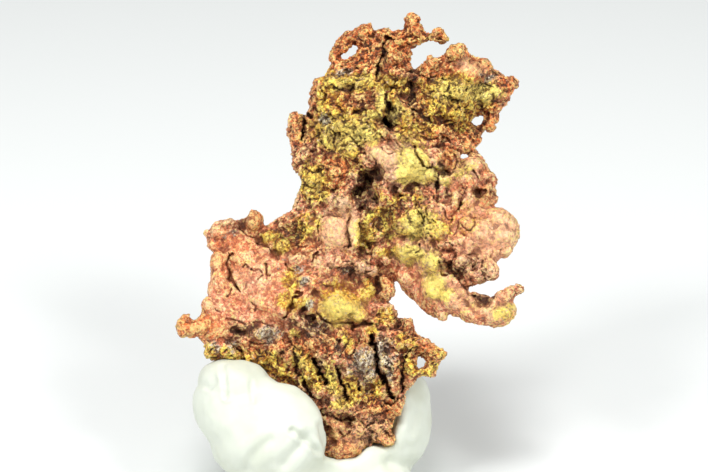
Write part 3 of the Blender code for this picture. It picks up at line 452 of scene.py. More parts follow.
def inside(polygon, x, z):
    """Whether points are in the polygon, by counting the edges to their right."""
    found = np.zeros(x.shape, bool)
    for (ax, az), (bx, bz) in zip(polygon, polygon[1:] + polygon[:1]):
        if az != bz:
            crosses = (az > z) != (bz > z)
            found ^= crosses & (x < (bx - ax) * (z - az) / (bz - az) + ax)
    return found


def edge_distance(polygon, x, z):
    best = np.full(x.shape, np.inf)
    for (ax, az), (bx, bz) in zip(polygon, polygon[1:] + polygon[:1]):
        along_x, along_z = bx - ax, bz - az
        share = np.clip(((x - ax) * along_x + (z - az) * along_z) / (along_x**2 + along_z**2), 0, 1)
        best = np.minimum(best, np.hypot(x - ax - share * along_x, z - az - share * along_z))
    return best


class Skin:
    """The sheet's half thickness over its outline: round at the edge, and a thin arm comes out round."""

    def __init__(self):
        corners = np.array(OUTLINE)
        self.low = corners.min(0) - MARGIN
        size = (np.ptp(corners, axis=0) + 2 * MARGIN) // CELL + 1
        x = self.low[0] + CELL * np.arange(size[0])[:, None]
        z = self.low[1] + CELL * np.arange(size[1])[None, :]
        x, z = np.broadcast_arrays(x, z)
        within = inside(OUTLINE, x, z)
        self.room = edge_distance(OUTLINE, x, z)
        for hole in THROUGH_HOLES.values():
            within &= ~inside(hole, x, z)
            self.room = np.minimum(self.room, edge_distance(hole, x, z))
        self.room *= within
        rounded = np.sqrt(np.maximum(self.room * (2 * EDGE_ROUND - self.room), 0))
        wide = EDGE_ROUND + THICKENING * (self.room - EDGE_ROUND)
        full = np.where(self.room < EDGE_ROUND, rounded, wide)
        self.half = np.minimum(full, np.sqrt(2 * self.stretched(within)))

    @staticmethod
    def stretched(within):
        """Height of a membrane held at the edge and pushed evenly, by conjugate gradients."""

        def pull(u):
            around = np.zeros_like(u)
            around[1:] += u[:-1]
            around[:-1] += u[1:]
            around[:, 1:] += u[:, :-1]
            around[:, :-1] += u[:, 1:]
            return (4 * u - around) * within

        height = np.zeros(within.shape)
        rest = within * float(CELL * CELL)
        way = rest.copy()
        left = (rest * rest).sum()
        for _ in range(MOST_ROUNDS):
            pulled = pull(way)
            step = left / (way * pulled).sum()
            height += step * way
            rest -= step * pulled
            now = (rest * rest).sum()
            if now < CLOSE_ENOUGH:
                break
            way = rest + (now / left) * way
            left = now
        return np.maximum(height, 0)

    def read(self, field, x, z):
        """A field of the skin at any points, between the grid's own."""
        i = np.clip((np.asarray(x) - self.low[0]) / CELL, 0, field.shape[0] - 1.001)
        k = np.clip((np.asarray(z) - self.low[1]) / CELL, 0, field.shape[1] - 1.001)
        i0, k0 = i.astype(int), k.astype(int)
        u, v = i - i0, k - k0
        return (
            field[i0, k0] * (1 - u) * (1 - v)
            + field[i0 + 1, k0] * u * (1 - v)
            + field[i0, k0 + 1] * (1 - u) * v
            + field[i0 + 1, k0 + 1] * u * v
        )

    def at(self, x, z):
        return self.read(self.half, x, z)

    def edge(self, x, z):
        return self.read(self.room, x, z)


def bend(x, z):
    """How far the middle of the sheet lies from the drawing plane."""
    shift = np.zeros(np.shape(x))
    for cx, cz, reach, depth in BENDS:
        shift = shift + depth * np.exp(-((x - cx) ** 2 + (z - cz) ** 2) / (2 * reach**2))
    return shift


def flat_sheet():
    """The outline with its holes, as a plate."""
    curve = bpy.data.curves.new("outline", "CURVE")
    curve.dimensions = "2D"
    curve.fill_mode = "BOTH"
    curve.extrude = PLATE_HALF
    for polygon in [OUTLINE, *THROUGH_HOLES.values()]:
        spline = curve.splines.new("POLY")
        spline.points.add(len(polygon) - 1)
        for point, (x, z) in zip(spline.points, polygon):
            point.co = (x, z, 0, 1)
        spline.use_cyclic_u = True
    mesh = mesh_from(in_scene("outline", curve))
    mesh.transform(Matrix.Rotation(math.radians(90), 4, "X"))
    return fused(mesh, COARSE_CELL)


def blown_sheet(skin):
    mesh = flat_sheet()
    points = places(mesh)
    x, z = points[:, 0], points[:, 2]
    points[:, 1] = points[:, 1] / PLATE_HALF * skin.at(x, z) + bend(x, z)
    put(mesh, points)
    return mesh


# ---- what is added to the sheet ----
def ball(centre, radii, turn=0):
    """An ellipsoid's place and size, turned in the front view, in degrees against the clock."""
    place = Matrix.Translation(centre) @ Matrix.Rotation(-math.radians(turn), 4, "Y")
    return np.array(place @ Matrix.Diagonal((*radii, 1)))


def with_balls(mesh, balls):
    """The mesh with all the ellipsoids added as separate shells, which are fused with it later."""
    bm = bmesh.new()
    bmesh.ops.create_icosphere(bm, subdivisions=2, radius=1)
    unit = np.array([(*v.co, 1) for v in bm.verts])
    unit_faces = np.array([[v.index for v in face.verts] for face in bm.faces])
    bm.free()
    shells = np.einsum("nij,kj->nki", np.array(balls), unit)[..., :3].reshape(-1, 3)
    shell_faces = unit_faces[None] + len(unit) * np.arange(len(balls))[:, None, None]
    added = bpy.data.meshes.new("balls")
    added.from_pydata(shells, [], shell_faces.reshape(-1, 3))
    bm = bmesh.new()
    bm.from_mesh(mesh)
    bm.from_mesh(added)
    bm.to_mesh(mesh)
    bm.free()
    return mesh


def front_lumps(skin):
    for lumps in FRONT_LUMPS.values():
        for x, z, half_width, half_height, *turn, proud in lumps:
            deep = 0.9 * min(half_width, half_height) + 3
            y = crust_at(skin, -1, x, z) - proud + deep
            yield ball((x, y, z), (half_width, deep, half_height), *turn)


def along(points, spacing):
    """Points at even spacing along a bent line."""
    points = np.array(points, float)
    lengths = np.hypot(*np.diff(points, axis=0).T)
    run = np.concatenate([[0], np.cumsum(lengths)])
    at = np.linspace(0, run[-1], max(2, int(run[-1] / spacing) + 1))
    return np.stack([np.interp(at, run, points[:, k]) for k in (0, 1)], axis=1)


def front_ridges(skin):
    for radius, proud, points in FRONT_RIDGES:
        for x, z in along(points, radius * 0.6):
            y = crust_at(skin, -1, x, z) - proud + radius
            yield ball((x, y, z), (radius, radius, radius))


def crust_at(skin, side, x, z):
    """How far back the sheet's surface lies at a place, on its front (-1) or its back (1)."""
    return float(bend(x, z) + side * skin.at(x, z))


def drawn(size, share):
    return size[0] + size[1] * share


def scattered(seed, count, skin, least):
    """Places spread at random over the outline, at least that far in from its edge."""
    draw = np.random.default_rng(seed)
    low, high = np.min(OUTLINE, axis=0), np.max(OUTLINE, axis=0)
    found = []
    while len(found) < count:
        x, z = draw.uniform(low, high)
        if skin.edge(x, z) > least:
            found.append((x, z, draw.uniform(0, 1), draw.uniform(0, 180)))
    return found


def back_lumps(skin):
    for x, z, share, turn in scattered(BACK_SEED, BACK_LUMP_COUNT, skin, 5):
        radius = min(drawn(BACK_LUMP_RADIUS, share), 0.8 * float(skin.edge(x, z)))
        y = crust_at(skin, 1, x, z) - radius * 0.45
        yield ball((x, y, z), (radius * 1.25, radius, radius * 0.85), turn)


def rough_spots(seed, count, skin):
    """Scattered places, fewer where the crust is smooth."""
    spots = scattered(seed, count, skin, 6)
    smooth = patch_share(np.array([[x, 0.0, z] for x, z, _, _ in spots]), SMOOTH_PATCHES, skin)
    return [spot for spot, share in zip(spots, smooth) if share < ROUGH_ENOUGH]


def nodules(side, seed, skin):
    """Single small knobs."""
    for x, z, share, turn in rough_spots(seed, NODULE_COUNT, skin):
        radius = drawn(NODULE_RADIUS, share * share)
        y = crust_at(skin, side, x, z) + side * radius * 0.2
        yield ball((x, y, z), (radius * 1.2, radius, radius * 0.9), turn)


def curls(side, seed, skin):
    """Short worms that bend one way as they run over the crust."""
    for x, z, share, turn in rough_spots(seed, CURL_COUNT, skin):
        heading, bending = math.radians(2 * turn), (share - 0.5) * CURL_BEND
        radius = drawn(CURL_RADIUS, share)
        for _ in range(int(drawn(CURL_BALLS, share))):
            if skin.edge(x, z) < 5:
                break
            y = crust_at(skin, side, x, z) + side * radius * 0.5
            yield ball((x, y, z), (radius, radius, radius))
            x += math.cos(heading) * radius * 0.8
            z += math.sin(heading) * radius * 0.8
            heading += bending


# ---- what is pressed into it ----
# How it strays from what is laid out, in steps: (how far, size of the noise, seed).
RAGGED = [(3.4, 9, 61), (1.7, 4, 67)]
JUMP = 1.4  # steps, from one grain of the crust to the next
WAVY = [(1.5, 8, 61), (0.8, 3, 67)]


def ellipse_distance(points, x, z, half_width, half_height, turn):
    """Squared distance in the front view from an ellipse's middle, 1 at its rim."""
    angle = math.radians(turn)
    dx, dz = points[:, 0] - x, points[:, 2] - z
    u = (dx * math.cos(angle) + dz * math.sin(angle)) / half_width
    v = (dz * math.cos(angle) - dx * math.sin(angle)) / half_height
    return u * u + v * v


def push_in(points, facing, side, distance_squared, depth):
    """Moves the points that face that side inwards, where the squared distance is about 1 or less."""
    share = np.clip(1.35 - distance_squared, 0, 1)
    share = share * share * (3 - 2 * share)
    faces_us = np.clip(facing[:, 1] * side * 2 + 0.6, 0, 1)
    points[:, 1] -= side * depth * share * faces_us


def distance_to(points, path):
    """Distance in the front view from a bent line."""
    best = np.full(len(points), np.inf)
    for (ax, az), (bx, bz) in zip(path, path[1:]):
        along_x, along_z = bx - ax, bz - az
        share = ((points[:, 0] - ax) * along_x + (points[:, 2] - az) * along_z) / (along_x**2 + along_z**2)
        share = np.clip(share, 0, 1)
        gap = np.hypot(points[:, 0] - ax - share * along_x, points[:, 2] - az - share * along_z)
        best = np.minimum(best, gap)
    return best


def flattened(points):
    """The points with less depth, so that a pattern changes more slowly from front to back."""
    return points * (1, 0.3, 1)


def ragged(points):
    """The points moved about, so that what is laid out by rule gets a broken edge."""
    flat = flattened(points)
    own, slope, _ = grains(flat, 7, 65)
    other, _, _ = grains(flat, 7, 66)
    return moved(points, flat, RAGGED) + JUMP * np.stack([own, slope, other], axis=1)


def on_front(skin, x, z):
    """Points on the sheet's front, over the drawing places given."""
    x, z = np.atleast_1d(np.asarray(x, float)), np.atleast_1d(np.asarray(z, float))
    return np.stack([x, bend(x, z) - skin.at(x, z), z], axis=1)


def kept_ellipse(skin, astray, x, z, half_width, half_height, turn=0):
    """The ellipse moved as astray() moves its middle, so that it keeps its place."""
    reach = 0.5 * np.array([[0, 0], [1, 0], [-1, 0], [0, 1], [0, -1]]) * (half_width, half_height)
    middle = astray(on_front(skin, x + reach[:, 0], z + reach[:, 1])).mean(0)
    return middle[0], middle[2], half_width, half_height, turn


def kept_path(skin, path):
    return [(x, z) for x, _, z in ragged(on_front(skin, *np.array(path, float).T))]


def wavy(points):
    """The points moved a little, so that a hair crack doesn't run straight."""
    return moved(points, points, WAVY)


def press_front(mesh, skin):
    points, facing = places(mesh), normals(mesh)
    at = ragged(points)
    room = DEEPEST * skin.at(points[:, 0], points[:, 2])
    for *ellipse, depth in FRONT_HOLLOWS:
        gap = ellipse_distance(at, *kept_ellipse(skin, ragged, *ellipse))
        push_in(points, facing, -1, gap, np.minimum(HOLLOW_DEPTH * depth, room))
    put(mesh, points)


def crack_front(mesh, skin):
    """Narrow clefts, widest in their middle."""
    points, facing = places(mesh), normals(mesh)
    at = ragged(points)
    room = skin.at(points[:, 0], points[:, 2])
    for half_width, depth, path in FRONT_GROOVES:
        gap = (distance_to(at, kept_path(skin, path)) / (CRACK_WIDTH * half_width)) ** 2
        push_in(points, facing, -1, gap, np.minimum(CRACK_DEPTH * depth, room))
    at = wavy(points)
    for path in HAIR_CRACKS:
        gap = (distance_to(at, path) / HAIR_WIDTH) ** 2
        push_in(points, facing, -1, gap, np.minimum(HAIR_DEPTH, 0.5 * room))
    put(mesh, points)


def press_back(mesh, skin):
    points, facing = places(mesh), normals(mesh)
    at = ragged(points)
    for x, z, share, turn in scattered(BACK_SEED + 1, BACK_HOLLOW_COUNT, skin, 14):
        depth = min(drawn(BACK_HOLLOW_DEPTH, share), 0.6 * float(skin.at(x, z)))
        halves = [drawn(half, share) for half in BACK_HOLLOW_HALVES]
        push_in(points, facing, 1, ellipse_distance(at, x, z, *halves, turn), depth)
    put(mesh, points)


# ---- fixed random patterns ----
def hashed(cells, seed):
    """A fixed random number from 0 to 1 for each whole-numbered cell."""
    mixed = cells[..., 0] * 73856093 ^ cells[..., 1] * 19349663 ^ cells[..., 2] * 83492791
    mixed ^= seed * 2654435761
    mixed = (mixed ^ (mixed >> 13)) * 1274126177
    mixed = (mixed ^ (mixed >> 16)) * 374761393
    mixed ^= mixed >> 15
    return (mixed & 0xFFFFFF) / 0xFFFFFF


def waves(points, size, seed):
    """Smooth noise from -1 to 1, with lumps about that size."""
    at = points / size
    low = np.floor(at).astype(np.int64)
    share = at - low
    share = share * share * (3 - 2 * share)
    total = np.zeros(len(points))
    for corner in np.ndindex(2, 2, 2):
        weight = np.prod(np.where(corner, share, 1 - share), axis=1)
        total += weight * hashed(low + corner, seed)
    return 2 * total - 1


def waves_3(points, size, seed):
    """The same kind of noise in all three directions."""
    return np.stack([waves(points, size, seed + k) for k in range(3)], axis=1)


def moved(points, at, layers):
    """The points moved about by the noise that lies at those places."""
    for far, size, seed in layers:
        points = points + far * waves_3(at, size, seed)
    return points


def grains(points, size, seed):
    """Packed angular grains of that size: each one's random height and slope, and how near its edge is."""
    at = points / size
    low = np.floor(at).astype(np.int64)
    first = np.full(len(points), 9.0)
    second = np.full(len(points), 9.0)
    own = np.zeros(len(points))
    slope = np.zeros(len(points))
    for corner in np.ndindex(3, 3, 3):
        cell = low + np.array(corner) - 1
        away = at - cell - np.stack([hashed(cell, seed + k) for k in (1, 2, 3)], axis=1)
        gap = np.sqrt((away**2).sum(1))
        nearer = gap < first
        second = np.where(nearer, first, np.minimum(second, gap))
        own = np.where(nearer, hashed(cell, seed), own)
        tilt = np.stack([hashed(cell, seed + k) for k in (4, 5, 6)], axis=1) - 0.5
        slope = np.where(nearer, (away * tilt).sum(1), slope)
        first = np.where(nearer, gap, first)
    return own - 0.5, slope, np.clip(1 - (second - first) / 0.25, 0, 1)


def neighbour_pairs(mesh):
    pairs = np.empty(len(mesh.edges) * 2, np.int32)
    mesh.edges.foreach_get("vertices", pairs)
    return pairs.reshape(-1, 2)


def spread(values, pairs, rounds):
    """Values blurred over the surface."""
    a, b = pairs.T
    count = np.bincount(pairs.ravel(), minlength=len(values))
    for _ in range(rounds):
        total = np.zeros_like(values)
        for k in range(values.shape[1]):
            total[:, k] = np.bincount(a, values[b, k], len(values))
            total[:, k] += np.bincount(b, values[a, k], len(values))
        values = 0.4 * values + 0.6 * total / count[:, None]
    return values


# ---- the crust ----
# Its coarse layers, in steps: height, width, the share that is left where the crust is smooth, and the seed.
FOLDS = [(4.5, 34, 0.5, 1), (3.4, 17, 0.12, 2)]
FOLD_CLEFTS = (3.2, 15, 0.1, 5)
PLATE_GRAIN = 13  # steps, the size of the hackly plates
PLATE_SEED = 70
PLATE_RISE = 1.8  # steps, how their heights differ
PLATE_SLOPE = 5.5  # steps, how far their slopes lift them
PLATE_SEAM = 0.8  # steps, how deep the seams between them are
FOLD_EDGE = 12  # steps from the edge, where the folds reach their full height
THIN_SHARE = 0.45  # of that height, left at the edge
# Its fine layers, in steps: height, width and seed.
CRUST_LEAVES = [(1.6, 9, 3), (1.2, 5, 4)]
CRUST_CLEFTS = [(1.2, 7, 6), (1.2, 3.5, 8)]
CRUST_GRAIN = 5  # steps, the size of its angular grains
CRUST_SEED = 20
GRAIN_RISE = 0.7  # steps
GRAIN_SLOPE = 2.6  # steps
# How the layers are bent and the folds pushed aside, in steps: how far, size of the noise and seed.
PLATE_BENDS = [(6, 21, 3), (2.5, 8, 7)]
CRUST_BENDS = [(2, 6, 9), (1.2, 3, 19)]
FOLD_SHIFT = [(1.5, 9, 91)]
SMOOTHED_CRUST = 0.55  # of the fine layers, taken away where the crust is smooth
# Where the crust is finer and flatter: (x, z, half width, half height, turn in degrees, strength).
SMOOTH_PATCHES = [
    (-115, 190, 45, 55, 1), (-95, 155, 60, 32, 10, 1), (-150, 130, 20, 14, 0.7), (-12, 228, 24, 22, 1),
    (-8, 157, 34, 28, -15, 1), (145, 225, 34, 36, 0.9), (95, 165, 66, 22, -25, 0.95), (150, 150, 20, 18, 0.8),
    (-8, 16, 22, 22, 0.7), (58, 296, 28, 24, 0.8), (-40, 200, 26, 18, 0.6), (120, 240, 30, 36, 0.7),
    (118, 285, 24, 24, 0.5), (-75, 185, 26, 30, 0.8), (62, 210, 32, 26, 0.6), (30, 308, 16, 12, 0.8),
    (115, 392, 18, 12, 0.8), (-95, 238, 16, 14, 0.6), (10, 98, 14, 14, 0.7), (-85, 126, 22, 12, 0.6),
]


def plates(points):
    """Where each point lies among the hackly plates: bent, and flattened so that a plate reaches back."""
    bent = moved(points, points, PLATE_BENDS)
    bent[:, 1] *= 0.5
    return bent


def crumpled(points, size, seed):
    """Flat facets meeting in sharp ridges and creases, -1 to 1, like crumpled foil."""
    draw = np.random.default_rng(seed)
    total = np.zeros(len(points))
    for _ in range(3):
        way = draw.normal(size=3)
        run = points @ (way / np.linalg.norm(way)) / (size * draw.uniform(0.8, 1.25)) + draw.uniform()
        total += 4 * np.abs(run - np.floor(run) - 0.5) - 1
    return total / 3


def clefts(points, size, seed):
    """Rounded lumps about that size that meet in sharp clefts, -0.5 to 0.5."""
    return np.abs(waves(points, size, seed)) ** 0.6 - 0.5


def patchy(points, size, swing, most, seed):
    """How strong the clefts are from place to place."""
    return np.clip(0.7 + swing * waves(points, size, seed), 0.2, most)


def folded(mesh, skin):
    """Adds plates that lie at all slopes, crumpled, with sharp clefts between them."""
    points, facing = places(mesh), normals(mesh)
    bare = 1 - patch_share(points, SMOOTH_PATCHES, skin)
    # The folds get weaker near the thin edge.
    thick = np.clip(skin.edge(points[:, 0], points[:, 2]) / FOLD_EDGE, THIN_SHARE, 1)
    bent = plates(points)
    lift = np.zeros(len(points))
    for height, width, kept, seed in FOLDS:
        lift += (kept + (1 - kept) * bare) * height * crumpled(bent, width, seed)
    height, width, kept, seed = FOLD_CLEFTS
    uneven = patchy(points, 40, 0.7, 1.2, 12)
    lift += (kept + (1 - kept) * bare) * uneven * height * clefts(bent, width, seed)
    own, slope, seam = grains(bent, PLATE_GRAIN, PLATE_SEED)
    lift += bare * (PLATE_RISE * own + PLATE_SLOPE * slope - PLATE_SEAM * seam)
    put(mesh, moved(points, points, FOLD_SHIFT) + facing * (thick * lift)[:, None])


def crusted(mesh, skin):
    """Adds the finest crust: crumpled leaves, angular grains and the clefts between them."""
    points, facing = places(mesh), normals(mesh)
    bare = 1 - SMOOTHED_CRUST * patch_share(points, SMOOTH_PATCHES, skin)
    bent = moved(points, points, CRUST_BENDS)
    lift = np.zeros(len(points))
    for height, width, seed in CRUST_LEAVES:
        lift += height * crumpled(bent, width, seed)
    uneven = patchy(points, 26, 0.8, 1.3, 13)
    for height, width, seed in CRUST_CLEFTS:
        lift += uneven * height * clefts(bent, width, seed)
    own, slope, _ = grains(bent, CRUST_GRAIN, CRUST_SEED)
    lift += GRAIN_RISE * own + GRAIN_SLOPE * slope
    put(mesh, points + facing * (bare * lift)[:, None])


def copper_in_steps():
    """The copper's fine mesh in its own frame, in grid steps."""
    skin = Skin()
    balls = [*front_lumps(skin), *front_ridges(skin), *back_lumps(skin)]
    for side, seed in SIDE_SEEDS.items():
        balls += [*nodules(side, seed, skin), *curls(side, seed + 1, skin)]
    mesh = with_balls(blown_sheet(skin), balls)
    mesh = smoothed(fused(mesh, LUMP_CELL), 3)
    press_front(mesh, skin)
    press_back(mesh, skin)
    mesh = smoothed(fused(mesh, HOLLOW_CELL), 2)
    folded(mesh, skin)
    mesh = largest_body(fused(mesh, FINE_CELL))
    crack_front(mesh, skin)
    crusted(mesh, skin)
    return thinned(mesh, COPPER_TRIANGLES), skin


